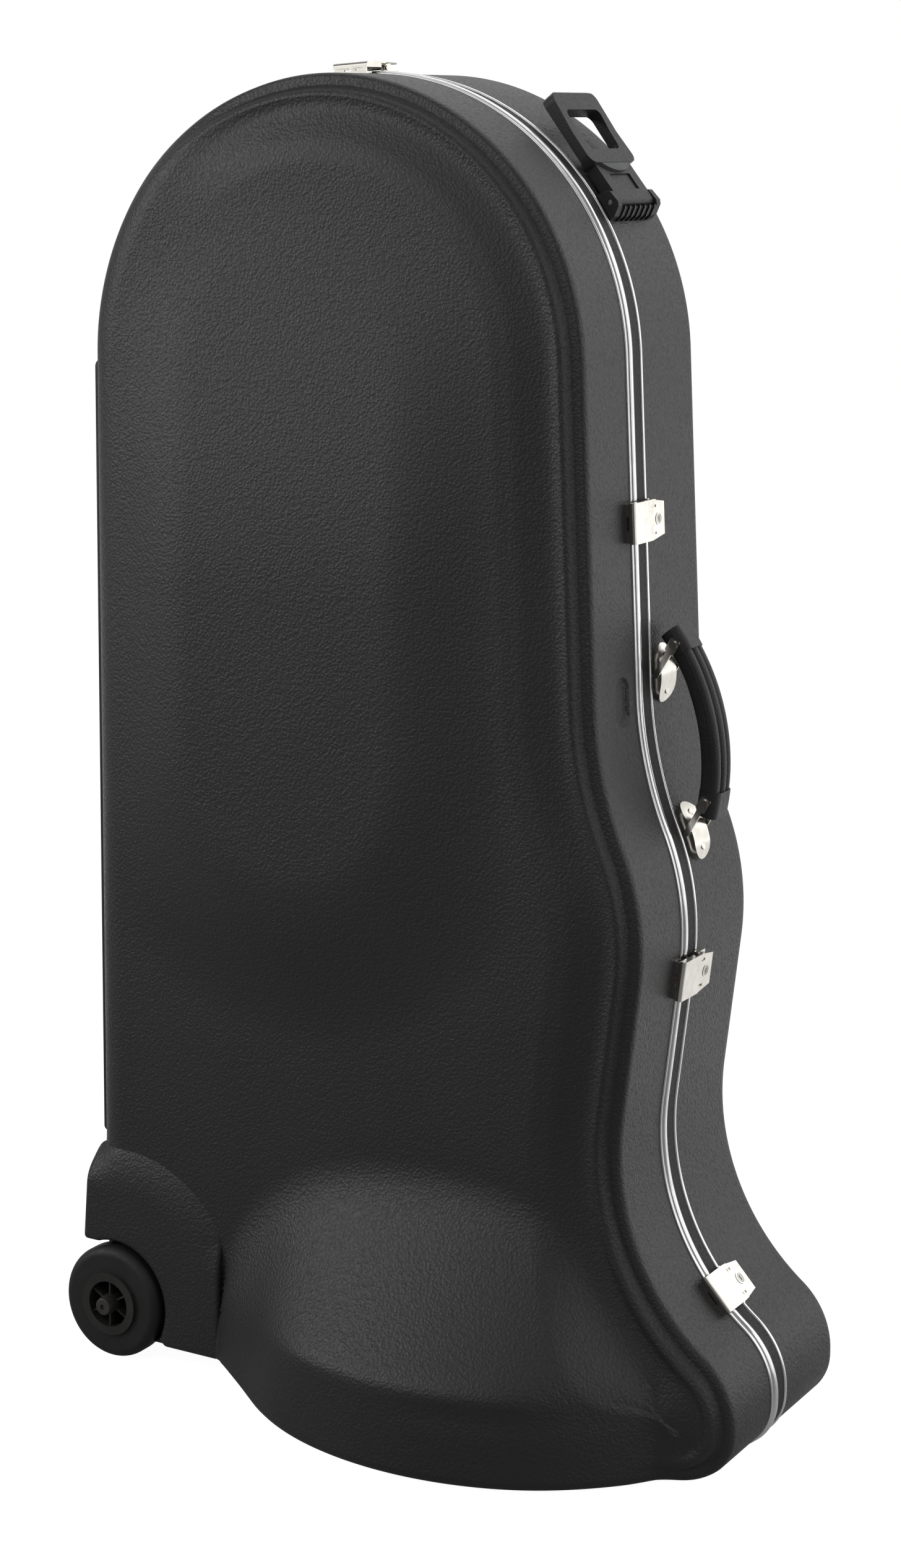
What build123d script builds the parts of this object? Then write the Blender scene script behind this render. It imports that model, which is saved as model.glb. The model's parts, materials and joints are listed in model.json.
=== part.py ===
from build123d import *
from math import acos, atan2, cos, degrees, hypot, radians, sin
import os

os.makedirs("parts", exist_ok=True)

# A tuba case standing on two wheels and on the wide end that holds the bell.
# The parting plane between lid and back shell is Y = 0. The lid faces -Y, the back shell faces +Y.
# The hinge side is -X and the latch side is +X. The origin is under the middle, on the floor.
# Outline values named in pairs are (x, z), with x counted from the middle of the top arch.

# Driving dimensions, in millimetres
ARCH_X = -60.135
ARCH_Z = 894.0
ARCH_R = 241.0
LID_DEPTH, LID_EDGE_R = 106.0, 24.0
BACK_DEPTH, BACK_EDGE_R = 116.0, 8.5
WALL = 3.0
LINING = 5.0
FOOT_H = 3.0

# Corners of the outline down the latch side: x, z and the radius that rounds each one
LATCH_SIDE = [
    (254.4, 568.3, 325.0),
    (301.2, 458.0, 214.0),
    (264.2, 176.8, 198.0),
    (381.4, 84.4, 68.0),
    (380.6, FOOT_H, 44.0),
]
WHEEL_END_Z = 18.0
WHEEL_END = (-ARCH_R, WHEEL_END_Z, 34.0)
# Inside the bell the body's floor runs up early. On the parting plane it steps up beside the bell.
BODY_CORNERS = LATCH_SIDE + [(-10.0, FOOT_H, 60.0), (-60.0, WHEEL_END_Z, 60.0), WHEEL_END]
RIM_CORNERS = LATCH_SIDE + [(-95.0, FOOT_H, 6.0), (-95.0, WHEEL_END_Z, 6.0), WHEEL_END]

# Bell bulge: an upright drum of elliptical plan and a flare that narrows above it
BELL_X = 120.0
BELL_HALF_X, BELL_HALF_Y = 235.0, 205.0
BELL_FOOT_R = 10.0
DRUM_TOP = 80.0
FLARE_HALF_X, FLARE_HALF_Y = 190.0, 104.0
FLARE_TOP = 236.0
FLARE_SLOPE = 0.3
RIM_STEP = 8.0

# Raised panel on the front of the body
PANEL_X = -22.0
PANEL_LOW_Z = 560.0
PANEL_HIGH_Z = 888.0
PANEL_DEPTH = 126.0
PANEL_FOOT_R = 206.0
PANEL_TOP_R = 142.0
PANEL_SUNK = 10.0

# Wheel housing, wheel pocket and wheel
HOUSING_X, HOUSING_Z, HOUSING_R = -205.0, 68.0, 120.0
HOUSING_END_X = -100.0
HOUSING_DEPTH = 118.0
HOUSING_BACK = 76.0
FENDER_X = -247.0
FENDER_LOW_Z = 93.0
FENDER_HIGH_Z = 188.0
WHEEL_X, WHEEL_R, WHEEL_WIDTH = -213.0, 50.0, 26.0
WHEEL_FACE = 119.0
TYRE_ROUND = 8.0
HUB_R, HUB_OPEN_R, BOSS_R = 28.0, 20.5, 8.5
RING_OUT, BOSS_OUT, CAP_OUT = 3.0, 6.0, 4.5
POCKET_R = 54.0
POCKET_BACK = 88.0
SPOKES, SPOKE_THICK, SPOKE_BACK = 6, 1.6, 4.0
WEB_THICK, HUB_BACK = 2.5, 1.0
AXLE_R = 5.0
AXLE_PLATE_R, AXLE_PLATE_THICK, AXLE_COLLAR_R = 16.0, 2.5, 8.0
AXLE_PAST, CAP_GAP, CAP_BORE = 1.6, 0.4, 1.2
CAP_EDGE_R, CAP_SOCKET_R, CAP_SOCKET_DEEP = 1.2, 2.6, 1.5
RUNNING = 0.05

# Edge bands along the parting line
GAP = 0.15
LID_TRIM = 12.0
SEAL = 14.0
BACK_TRIM = 18.0
BEAD = 2.2
THIN_BEAD, GROOVE_OUT = 1.4, 0.5
MAIN_BEAD_DEPTH, GROOVE_DEPTH = 7.0, 9.6
BACK_BEAD = 1.0
DIMPLE_SEAT = (252.7, 623.0, 4.5)
DIMPLE_Y, DIMPLE_LONG, DIMPLE_WIDE, DIMPLE_SUNK = -35.0, 41.0, 22.0, 1.4

# Hinges on the straight side
HINGE_HEIGHTS = (800.0, 540.0, 280.0)
HINGE_LENGTH = 60.0
KNUCKLE_R = 3.5
HINGE_PIN_R = 1.5
KNUCKLE_ROOT = (1.8, 5.0)
CLEAR = 0.3
END_GAP = 0.2
LEAF = 2.0
LEAF_START, LEAF_REACH = 4.6, 36.0
SCREW_R, SCREW_H, SCREW_TAPER = 3.0, 1.3, 12.0
LEAF_SCREW_STEP, LEAF_SCREW_OUTER, LEAF_SCREW_MIDDLE = 20.0, 28.0, 20.0

# Latches: x, z and the angle of the outward direction at each seat
LATCH_SEATS = {
    "top": (-17.0, 1134.4, 94.04),
    "upper": (246.2, 768.0, 2.35),
    "middle": (292.8, 394.0, -7.5),
    "lower": (329.6, 128.5, 42.5),
}
# Their profiles are in Y and height over the wall. A seat's pieces start below it and are trimmed to it.
SEAT_UNDER = -2.0
SHEET = 1.4
LATCH_HALF = 17.0
BASE_TOE, BASE_STEP, BASE_HEEL, BASE_HALF = 7.0, 19.0, 31.0, 14.9
BASE_UNDER, BASE_TOP = 1.3, 2.4
EAR_PLACE, EAR_THICK, EAR_R = 13.9, 2.0, 3.0
EAR_FOOT_Z, EAR_FOOT_H = 3.0, 3.2
LEVER_PIN = (10.0, 4.6)
LEVER_PIN_R, LEVER_PIN_HALF = 1.5, 17.0
PIN_HEAD_R, PIN_HEAD_H, PIN_HEAD_PLACE = 2.3, 1.0, 17.4
KEEPER_FRONT, KEEPER_BACK, KEEPER_TOP = -22.0, -13.0, 4.7
KEEPER_SHEET, KEEPER_HALF = 1.6, 16.0
KEEPER_SLOT_Z, KEEPER_SLOT_H, KEEPER_SLOT_HALF = 3.2, 1.6, 6.0
COVER_TOP, COVER_SHEET, COVER_R = 10.0, 1.6, 3.0
COVER_LIP, COVER_BACK = 5.0, 9.6
FLANGE_NEAR, FLANGE_FAR, FLANGE_TOP = -20.5, 1.5, 8.8
HOOK_PIVOT = (14.2, 6.0)
HOOK_EYE_R, HOOK_ROD_R, HOOK_ROD_HALF = 1.8, 1.0, 15.6
ARM_PLACE, ARM_THICK = 11.25, 1.5
ARM_START, ARM_SHOULDER, ARM_TOP = 3.0, 9.4, 8.6
ARM_BELLY_START, ARM_BELLY_END, ARM_BELLY = 5.0, 12.0, 6.6
ARM_SLOT, ARM_SLOT_ROOM = (10.5, 17.3), 0.35
LEVER_START, LEVER_END, LEVER_END_HALF = 10.6, 32.0, 13.6
LEVER_UNDER = 8.0
CHEEK_PLACE = 16.0
CHEEK = ((7.4, 2.4), (14.6, 3.6), (17.6, 8.2), (10.8, 8.2), (7.4, 6.6))
LOCK_Y, LOCK_R, LOCK_RING, LOCK_RING_H = 21.5, 4.2, 1.4, 0.4
LOCK_FLANGE, LOCK_FLANGE_Z, LOCK_FLANGE_H, LOCK_H = 0.8, 6.4, 1.3, 2.0
KEY_SLOT, KEY_SLOT_Z = (1.2, 4.2), 8.2

# Carry handle: seats of its two plates and the reach of its links from pivot to rivet
PLATE_SEATS = {"upper": (251.3, 637.2, 2.35), "lower": (281.0, 505.7, 23.0)}
PIVOT_OUT = 4.5
LINK_X, LINK_Z = 16.0, 27.0
HANDLE_Y = 35.0
CROSS_PIN_R, RIVET_R = 1.6, 2.0
RIVET_HEAD_R, RIVET_HEAD_H, RIVET_HEAD_OUT = 3.5, 1.2, 0.9
PLATE_LONG, PLATE_WIDE, PLATE_EDGE, PLATE_DOME = 50.0, 28.0, 1.6, 8.2
PLATE_UNDER, PLATE_SCREW_STEP, PLATE_SCREW_H = -3.0, 15.0, 9.4
STRAP, STRAP_WIDE, STRAP_REACH = 1.7, 5.0, 17.8
EYE_LONG, EYE_WIDE, EYE_ROUND, EYE_SHARE = 13.0, 9.6, 2.0, 0.95
OPEN_PIVOT = 0.35
GRIP_RISE = 13.0
GRIP_THICK, GRIP_WIDE, GRIP_ROUND, GRIP_SUNK = 15.0, 30.0, 6.0, 1.0
RIB_R, RIB_STEP, MIDDLE_RIB_OUT, SIDE_RIB_OUT = 5.6, 9.4, 3.6, 2.8
GRIP_PAST, GRIP_TUCK, CAP_TURN = 4.0, 1.0, 7.0
CAP_THICK, CAP_WIDE, CAP_ROUND, CAP_RISE = 19.5, 31.5, 8.0, 0.5

# Pull handle on the shoulder of the back shell, lying along its tangent. Its profiles are in the
# way up along the tangent and height, and its faces in Y and the way up.
PULL_ANGLE = 38.0
PULL_Y = 58.0
PULL_PIN = (-22.7, 6.5)
PULL_PIN_R, PULL_PIN_HALF = 2.5, 36.5
NECK_HALF, NECK_LOW, NECK_HIGH, NECK_TOP = 31.0, -31.0, 13.0, 12.0
NECK_UNDER, LOOP_UNDER, LOOP_TOP, LOOP_END_TOP = 1.0, 6.0, 15.0, 18.0
LOOP_START, LOOP_THICKER, LOOP_END, LOOP_NOSE = 12.0, 44.0, 82.0, (86.0, 12.0)
LOOP_SIDES, LOOP_FAR_MIDDLE = ((20, 80), (17, 12), (99, 12), (96, 80)), (58, 90)
LOOP_CORNER_R = 9.0
LOOP_OPENING, LOOP_OPENING_R = ((28, 66), (88, 66), (84, 26), (32, 26)), 6.0
SHALLOW, SHALLOW_WIDE, SHALLOW_LONG, SHALLOW_PLACE = 1.5, 36.0, 16.0, -6.0
BUMPER_NEAR, BUMPER_FAR, BUMPER_TOP, BUMPER_DIP, BUMPER_H = 34.0, 86.0, 12.0, 3.5, 2.6
PULL_EAR_PLACE, PULL_EAR_THICK = 35.0, 7.0
PULL_EAR = ((-12, -4), (-12, 8), (-16, 12.5), (-27, 13.5), (-30.5, 11.5), (-35, 3), (-35, -4))
PULL_WALL, PULL_WALL_HALF = ((-31, -4), (-31, 10.5), (-35, 3), (-35, -4)), 34.0
PULL_RIB, PULL_RIB_THICK = ((-31, -4), (-31, 12), (-32.6, 10.6), (-36.4, 3), (-36.4, -4)), 2.4
PULL_RIB_COUNT, PULL_RIB_STEP = 7, 9.0

# Feet under the bell end and runners on the straight side
FOOT_R = 10.0
FOOT_PLACES = ((262.0, 118.0), (10.0, 128.0), (150.0, 165.0))
RUNNER_LOW, RUNNER_HIGH = 191.0, 887.0
RUNNER_Y, RUNNER_WIDTH, RUNNER_OUT = 73.0, 18.0, 5.0
RUNNER_END_R, RUNNER_EDGE_R = 6.0, 2.5

# Cuts run this far, which is past anything they meet
THROUGH = 60.0

parts = []


def keep(part, name):
    """Label a finished piece and write it."""
    part.label = name
    export_step(part, f"parts/{name}.step")
    parts.append(name)


def outline(corners, depth, grow=0.0):
    """The case seen from the front, on the plane Y = -depth, grown outwards by grow."""
    first_x, first_z = corners[0][0], corners[0][1] - ARCH_Z
    turn = atan2(first_z, first_x) + acos(ARCH_R / hypot(first_x, first_z))
    start = (ARCH_X + ARCH_R * cos(turn), ARCH_Z + ARCH_R * sin(turn))
    end = (ARCH_X - ARCH_R, ARCH_Z)
    points = [start] + [(ARCH_X + x, z) for x, z, radius in corners] + [end]
    with BuildSketch(Plane.XZ.offset(depth)) as face:
        with BuildLine():
            FilletPolyline(*points, radius=[radius for x, z, radius in corners])
            ThreePointArc(end, (ARCH_X, ARCH_Z + ARCH_R), start)
        make_face()
        if grow:
            offset(amount=grow)
    return face.sketch


def bell_form(inset):
    """The front half of the bell bulge, with every face drawn in by inset."""
    drum_top = DRUM_TOP - FLARE_SLOPE * inset
    centre = (ARCH_X + BELL_X, 0)
    with BuildPart() as bell:
        with BuildSketch(Plane.XY.offset(FOOT_H + inset)):
            with Locations(centre):
                Ellipse(BELL_HALF_X - inset, BELL_HALF_Y - inset)
        extrude(amount=drum_top - FOOT_H - inset)
        fillet(bell.faces().sort_by(Axis.Z)[0].edges(), radius=BELL_FOOT_R - inset / 2)
        with BuildSketch(Plane.XY.offset(drum_top)):
            with Locations(centre):
                Ellipse(BELL_HALF_X - inset, BELL_HALF_Y - inset)
        with BuildSketch(Plane.XY.offset(FLARE_TOP - inset)):
            with Locations(centre):
                Ellipse(FLARE_HALF_X - inset, FLARE_HALF_Y - inset)
        loft(ruled=True)
        extrude(outline(RIM_CORNERS, 0.0, -inset), amount=BELL_HALF_X, mode=Mode.INTERSECT)
    return bell.part


def half_form(inset, start, depth, edge_r):
    """The front half as one solid from Y = -start forwards, with every face drawn in by inset."""
    bell = bell_form(inset)
    with BuildPart() as form:
        extrude(outline(BODY_CORNERS, start, -inset), amount=depth - inset - start)
        fillet(form.faces().sort_by(Axis.Y)[0].edges(), radius=max(edge_r - inset, WALL))
        extrude(outline(RIM_CORNERS, start, -inset), amount=RIM_STEP)
        add(bell)
        with BuildSketch(Plane.XZ.offset(depth - PANEL_SUNK)):
            with Locations((ARCH_X + PANEL_X, (PANEL_LOW_Z + PANEL_HIGH_Z) / 2)):
                SlotCenterToCenter(PANEL_HIGH_Z - PANEL_LOW_Z, 2 * (PANEL_FOOT_R - inset), rotation=90)
        with BuildSketch(Plane.XZ.offset(PANEL_DEPTH - inset)):
            with Locations((ARCH_X + PANEL_X, (PANEL_LOW_Z + PANEL_HIGH_Z) / 2)):
                SlotCenterToCenter(PANEL_HIGH_Z - PANEL_LOW_Z, 2 * (PANEL_TOP_R - inset), rotation=90)
        loft(ruled=True)
        with BuildSketch(Plane.XZ.offset(HOUSING_BACK + inset)):
            with Locations((ARCH_X + HOUSING_X, HOUSING_Z)):
                Circle(HOUSING_R - inset)
            with BuildLine():
                Polyline(
                    (ARCH_X - ARCH_R + inset, FENDER_HIGH_Z),
                    (ARCH_X + FENDER_X + inset, FENDER_LOW_Z),
                    (ARCH_X + FENDER_X + inset, WHEEL_END_Z + inset),
                    (ARCH_X + HOUSING_END_X - inset, WHEEL_END_Z + inset),
                    (ARCH_X + HOUSING_END_X - inset, FENDER_HIGH_Z),
                    close=True,
                )
            make_face(mode=Mode.INTERSECT)
        extrude(amount=HOUSING_DEPTH - HOUSING_BACK - 2 * inset)
        split(bisect_by=Plane.XZ.offset(start), keep=Keep.TOP)
        with BuildSketch(Plane.XZ.offset(POCKET_BACK - inset)):
            with Locations((ARCH_X + WHEEL_X, WHEEL_R)):
                Circle(POCKET_R + inset)
        extrude(amount=BELL_HALF_X, mode=Mode.SUBTRACT)
    return form.part


def seat_planes(x, z, angle):
    """Planes at a place on the outline. On the first, x is Y and z points outwards. The second
    shows Y and height, with its normal along the outline. The third shows the way up along the
    outline and height, with its normal along Y."""
    out = Vector(cos(radians(angle)), 0, sin(radians(angle)))
    along = Vector(sin(radians(angle)), 0, -cos(radians(angle)))
    place = Vector(ARCH_X + x, 0, z)
    top = Plane(place, x_dir=(0, 1, 0), z_dir=out)
    side = Plane(place, x_dir=(0, 1, 0), z_dir=along)
    cross = Plane(place, x_dir=along * -1, z_dir=(0, 1, 0))
    return top, side, cross


def band(near, far, grow):
    """A ring along the parting line between two depths, standing out of the wall by grow."""
    with BuildPart() as ring:
        extrude(outline(RIM_CORNERS, near, grow), amount=far - near)
        extrude(outline(RIM_CORNERS, near, -WALL), amount=far - near, mode=Mode.SUBTRACT)
    return ring.part


# The whole case as a filled slice, to trim what is fastened to its wall
SIDE_WALL = LID_DEPTH - LID_EDGE_R
wall_solid = extrude(outline(RIM_CORNERS, -SIDE_WALL), amount=2 * SIDE_WALL)
trim_room = extrude(outline(RIM_CORNERS, -BACK_TRIM - CLEAR, BACK_BEAD + CLEAR), amount=BACK_TRIM)

# Lid shell and its lining
lid_outer = half_form(0.0, LID_TRIM, LID_DEPTH, LID_EDGE_R)
lid_inner = half_form(WALL, LID_TRIM, LID_DEPTH, LID_EDGE_R)
lid_core = half_form(WALL + LINING, LID_TRIM, LID_DEPTH, LID_EDGE_R)
dimple_plane = seat_planes(*DIMPLE_SEAT)[0]
with BuildPart() as lid_shell:
    add(lid_outer)
    add(lid_inner, mode=Mode.SUBTRACT)
    with BuildSketch(dimple_plane.offset(-DIMPLE_SUNK)):
        with Locations((DIMPLE_Y, 0)):
            SlotOverall(DIMPLE_LONG, DIMPLE_WIDE, rotation=90)
    extrude(amount=THROUGH, mode=Mode.SUBTRACT)
keep(lid_shell.part, "lid_shell")
with BuildPart() as lid_lining:
    add(lid_inner)
    add(lid_core, mode=Mode.SUBTRACT)
keep(lid_lining.part, "lid_lining")

# Back shell and its lining
back_outer = mirror(half_form(0.0, BACK_TRIM, BACK_DEPTH, BACK_EDGE_R), about=Plane.XZ)
back_inner = mirror(half_form(WALL, BACK_TRIM, BACK_DEPTH, BACK_EDGE_R), about=Plane.XZ)
back_core = mirror(half_form(WALL + LINING, BACK_TRIM, BACK_DEPTH, BACK_EDGE_R), about=Plane.XZ)
with BuildPart() as back_shell:
    add(back_outer)
    add(back_inner, mode=Mode.SUBTRACT)
keep(back_shell.part, "back_shell")
with BuildPart() as back_lining:
    add(back_inner)
    add(back_core, mode=Mode.SUBTRACT)
keep(back_lining.part, "back_lining")

# Aluminium edge of the lid: a thin bead, a groove and the main bead
with BuildPart() as lid_trim:
    add(band(GROOVE_DEPTH, LID_TRIM, THIN_BEAD))
    add(band(MAIN_BEAD_DEPTH, GROOVE_DEPTH, GROOVE_OUT))
    add(band(GAP, MAIN_BEAD_DEPTH, BEAD))
keep(lid_trim.part, "lid_trim")

# Black seal band and the aluminium line behind it
keep(band(-SEAL, -GAP, 0.0), "seal_band")
keep(band(-BACK_TRIM, -SEAL, BACK_BEAD), "back_trim")

# Hinges
wall_x = ARCH_X - ARCH_R
leaf_x = wall_x - BEAD - CLEAR
hinge_x = leaf_x - CLEAR - KNUCKLE_R
knuckle = HINGE_LENGTH / 5


def hinge_leaf(height, facing, turns, pin_room):
    """One leaf with its knuckles. facing is +1 on the back shell and -1 on the lid."""
    with BuildPart() as leaf:
        low = height - HINGE_LENGTH / 2
        with BuildSketch(Plane.XY.offset(low)):
            with Locations((leaf_x - LEAF / 2, facing * (LEAF_START + LEAF_REACH) / 2)):
                Rectangle(LEAF, LEAF_REACH - LEAF_START)
            seat_start = CLEAR + (LID_TRIM if facing < 0 else BACK_TRIM)
            with Locations(((leaf_x + wall_x) / 2, facing * (seat_start + LEAF_REACH) / 2)):
                Rectangle(wall_x - leaf_x, LEAF_REACH - seat_start)
        extrude(amount=HINGE_LENGTH)
        for turn in turns:
            with BuildSketch(Plane.XY.offset(low + turn * knuckle + END_GAP)):
                with Locations((hinge_x, 0)):
                    Circle(KNUCKLE_R)
                with Locations((leaf_x - LEAF / 2, facing * sum(KNUCKLE_ROOT) / 2)):
                    Rectangle(LEAF, KNUCKLE_ROOT[1] - KNUCKLE_ROOT[0])
            extrude(amount=knuckle - 2 * END_GAP)
        with BuildSketch(Plane.XY.offset(height)):
            with Locations((hinge_x, 0)):
                Circle(HINGE_PIN_R + pin_room)
        extrude(amount=HINGE_LENGTH, both=True, mode=Mode.SUBTRACT)
    return leaf.part


def screw_heads(facing):
    """Pan heads on the leaves of one side, three to a leaf."""
    with BuildPart() as heads:
        for height in HINGE_HEIGHTS:
            for step in (-1, 0, 1):
                head_y = facing * (LEAF_SCREW_OUTER if step else LEAF_SCREW_MIDDLE)
                place = (leaf_x - LEAF, head_y, height + step * LEAF_SCREW_STEP)
                with BuildSketch(Plane(place, x_dir=(0, 1, 0), z_dir=(-1, 0, 0))):
                    Circle(SCREW_R)
                extrude(amount=SCREW_H, taper=SCREW_TAPER)
    return heads.part


with BuildPart() as hinge_back_leaves:
    for height in HINGE_HEIGHTS:
        add(hinge_leaf(height, 1, (0, 2, 4), 0.0))
keep(hinge_back_leaves.part, "hinge_back_leaves")
with BuildPart() as hinge_lid_leaves:
    for height in HINGE_HEIGHTS:
        add(hinge_leaf(height, -1, (1, 3), RUNNING))
keep(hinge_lid_leaves.part, "hinge_lid_leaves")
with BuildPart() as hinge_pins:
    for height in HINGE_HEIGHTS:
        with BuildSketch(Plane.XY.offset(height)):
            with Locations((hinge_x, 0)):
                Circle(HINGE_PIN_R)
        extrude(amount=HINGE_LENGTH / 2 - END_GAP, both=True)
keep(hinge_pins.part, "hinge_pins")
keep(screw_heads(1), "hinge_back_screws")
keep(screw_heads(-1), "hinge_lid_screws")


def latch_base(seat):
    """Plate on the back shell with two ears that hold the lever's pin."""
    side = seat_planes(*seat)[1]
    with BuildPart() as base:
        with BuildSketch(side):
            with BuildLine():
                Polyline(
                    (BASE_STEP, SEAT_UNDER),
                    (BASE_HEEL, SEAT_UNDER),
                    (BASE_HEEL, BASE_TOP),
                    (BASE_TOE, BASE_TOP),
                    (BASE_TOE, BASE_UNDER),
                    (BASE_STEP, BASE_UNDER),
                    close=True,
                )
            make_face()
        extrude(amount=BASE_HALF, both=True)
        for place in (-EAR_PLACE, EAR_PLACE):
            with BuildSketch(side.offset(place)):
                with Locations(LEVER_PIN):
                    Circle(EAR_R)
                with Locations((LEVER_PIN[0], EAR_FOOT_Z)):
                    Rectangle(2 * EAR_R, EAR_FOOT_H)
            extrude(amount=EAR_THICK / 2, both=True)
        with BuildSketch(side):
            with Locations(LEVER_PIN):
                Circle(LEVER_PIN_R)
        extrude(amount=THROUGH, both=True, mode=Mode.SUBTRACT)
        add(wall_solid, mode=Mode.SUBTRACT)
        add(trim_room, mode=Mode.SUBTRACT)
    return base.part


def latch_keeper(seat):
    """Angle on the lid with a slotted front, just under the hook cover's lip."""
    side = seat_planes(*seat)[1]
    inner = KEEPER_FRONT + KEEPER_SHEET
    with BuildPart() as keeper:
        with BuildSketch(side):
            with BuildLine():
                Polyline(
                    (KEEPER_FRONT, SEAT_UNDER),
                    (KEEPER_BACK, SEAT_UNDER),
                    (KEEPER_BACK, KEEPER_SHEET),
                    (inner, KEEPER_SHEET),
                    (inner, KEEPER_TOP),
                    (KEEPER_FRONT, KEEPER_TOP),
                    close=True,
                )
            make_face()
        extrude(amount=KEEPER_HALF, both=True)
        with BuildSketch(side):
            with Locations(((KEEPER_FRONT + inner) / 2, KEEPER_SLOT_Z)):
                Rectangle(2 * KEEPER_SHEET, KEEPER_SLOT_H)
        extrude(amount=KEEPER_SLOT_HALF, both=True, mode=Mode.SUBTRACT)
        add(wall_solid, mode=Mode.SUBTRACT)
    return keeper.part


def latch_hook(seat):
    """Curved front cover with side flanges and two arms that reach back to the lever's rod."""
    side = seat_planes(*seat)[1]
    bend_y, bend_z = KEEPER_FRONT + COVER_R, COVER_TOP - COVER_R
    inner_y, inner_z = KEEPER_FRONT + COVER_SHEET, COVER_TOP - COVER_SHEET
    eye_y, eye_z = HOOK_PIVOT
    with BuildPart() as hook:
        with BuildSketch(side):
            with BuildLine():
                Polyline(
                    (bend_y, COVER_TOP), (COVER_BACK, COVER_TOP), (COVER_BACK, inner_z), (bend_y, inner_z)
                )
                RadiusArc((bend_y, inner_z), (inner_y, bend_z), COVER_SHEET - COVER_R)
                Polyline(
                    (inner_y, bend_z), (inner_y, COVER_LIP), (KEEPER_FRONT, COVER_LIP), (KEEPER_FRONT, bend_z)
                )
                RadiusArc((KEEPER_FRONT, bend_z), (bend_y, COVER_TOP), COVER_R)
            make_face()
        extrude(amount=LATCH_HALF, both=True)
        for place in (SHEET / 2 - LATCH_HALF, LATCH_HALF - SHEET / 2):
            with BuildSketch(side.offset(place)):
                with Locations(((FLANGE_NEAR + FLANGE_FAR) / 2, (COVER_LIP + FLANGE_TOP) / 2)):
                    Rectangle(FLANGE_FAR - FLANGE_NEAR, FLANGE_TOP - COVER_LIP)
            extrude(amount=SHEET / 2, both=True)
        for place in (-ARM_PLACE, ARM_PLACE):
            with BuildSketch(side.offset(place)):
                with BuildLine():
                    Polyline(
                        (ARM_START, ARM_TOP),
                        (ARM_SHOULDER, ARM_TOP),
                        (ARM_SHOULDER, eye_z + HOOK_EYE_R),
                        (eye_y, eye_z + HOOK_EYE_R),
                        (eye_y, eye_z - HOOK_EYE_R),
                        (ARM_BELLY_END, ARM_BELLY),
                        (ARM_BELLY_START, ARM_BELLY),
                        close=True,
                    )
                make_face()
                with Locations(HOOK_PIVOT):
                    Circle(HOOK_EYE_R)
                    Circle(HOOK_ROD_R + RUNNING, mode=Mode.SUBTRACT)
            extrude(amount=ARM_THICK / 2, both=True)
    return hook.part


def latch_lever(seat):
    """Flat rear plate with cheeks round the pin and a cross rod that carries the hook cover."""
    top, side, _ = seat_planes(*seat)
    with BuildPart() as lever:
        with BuildSketch(top.offset(LEVER_UNDER)):
            with BuildLine():
                Polyline(
                    (LEVER_START, -LATCH_HALF),
                    (LEVER_START, LATCH_HALF),
                    (LEVER_END, LEVER_END_HALF),
                    (LEVER_END, -LEVER_END_HALF),
                    close=True,
                )
            make_face()
            with Locations((sum(ARM_SLOT) / 2, -ARM_PLACE), (sum(ARM_SLOT) / 2, ARM_PLACE)):
                Rectangle(ARM_SLOT[1] - ARM_SLOT[0], ARM_THICK + 2 * ARM_SLOT_ROOM, mode=Mode.SUBTRACT)
        extrude(amount=SHEET)
        with BuildSketch(top.offset(LEVER_UNDER + SHEET)):
            with Locations((LOCK_Y, 0)):
                Circle(LOCK_R + LOCK_RING)
        extrude(amount=LOCK_RING_H)
        with BuildSketch(top.offset(LEVER_UNDER)):
            with Locations((LOCK_Y, 0)):
                Circle(LOCK_R + RUNNING)
        extrude(amount=THROUGH, mode=Mode.SUBTRACT)
        for place in (-CHEEK_PLACE, CHEEK_PLACE):
            with BuildSketch(side.offset(place)):
                with BuildLine():
                    Polyline(*CHEEK, close=True)
                make_face()
                with Locations(LEVER_PIN):
                    Circle(LEVER_PIN_R + RUNNING, mode=Mode.SUBTRACT)
            extrude(amount=SHEET / 2, both=True)
        with BuildSketch(side):
            with Locations(HOOK_PIVOT):
                Circle(HOOK_ROD_R)
        extrude(amount=HOOK_ROD_HALF, both=True)
    return lever.part


def latch_lock(seat):
    """Key plug with a slot, held from below by its flange."""
    top = seat_planes(*seat)[0]
    with BuildPart() as lock:
        with BuildSketch(top.offset(LOCK_FLANGE_Z)):
            with Locations((LOCK_Y, 0)):
                Circle(LOCK_R + LOCK_FLANGE)
        extrude(amount=LOCK_FLANGE_H)
        with BuildSketch(top.offset(LOCK_FLANGE_Z + LOCK_FLANGE_H)):
            with Locations((LOCK_Y, 0)):
                Circle(LOCK_R)
        extrude(amount=LOCK_H)
        with BuildSketch(top.offset(KEY_SLOT_Z)):
            with Locations((LOCK_Y, 0)):
                Rectangle(*KEY_SLOT)
        extrude(amount=THROUGH, mode=Mode.SUBTRACT)
    return lock.part


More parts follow.
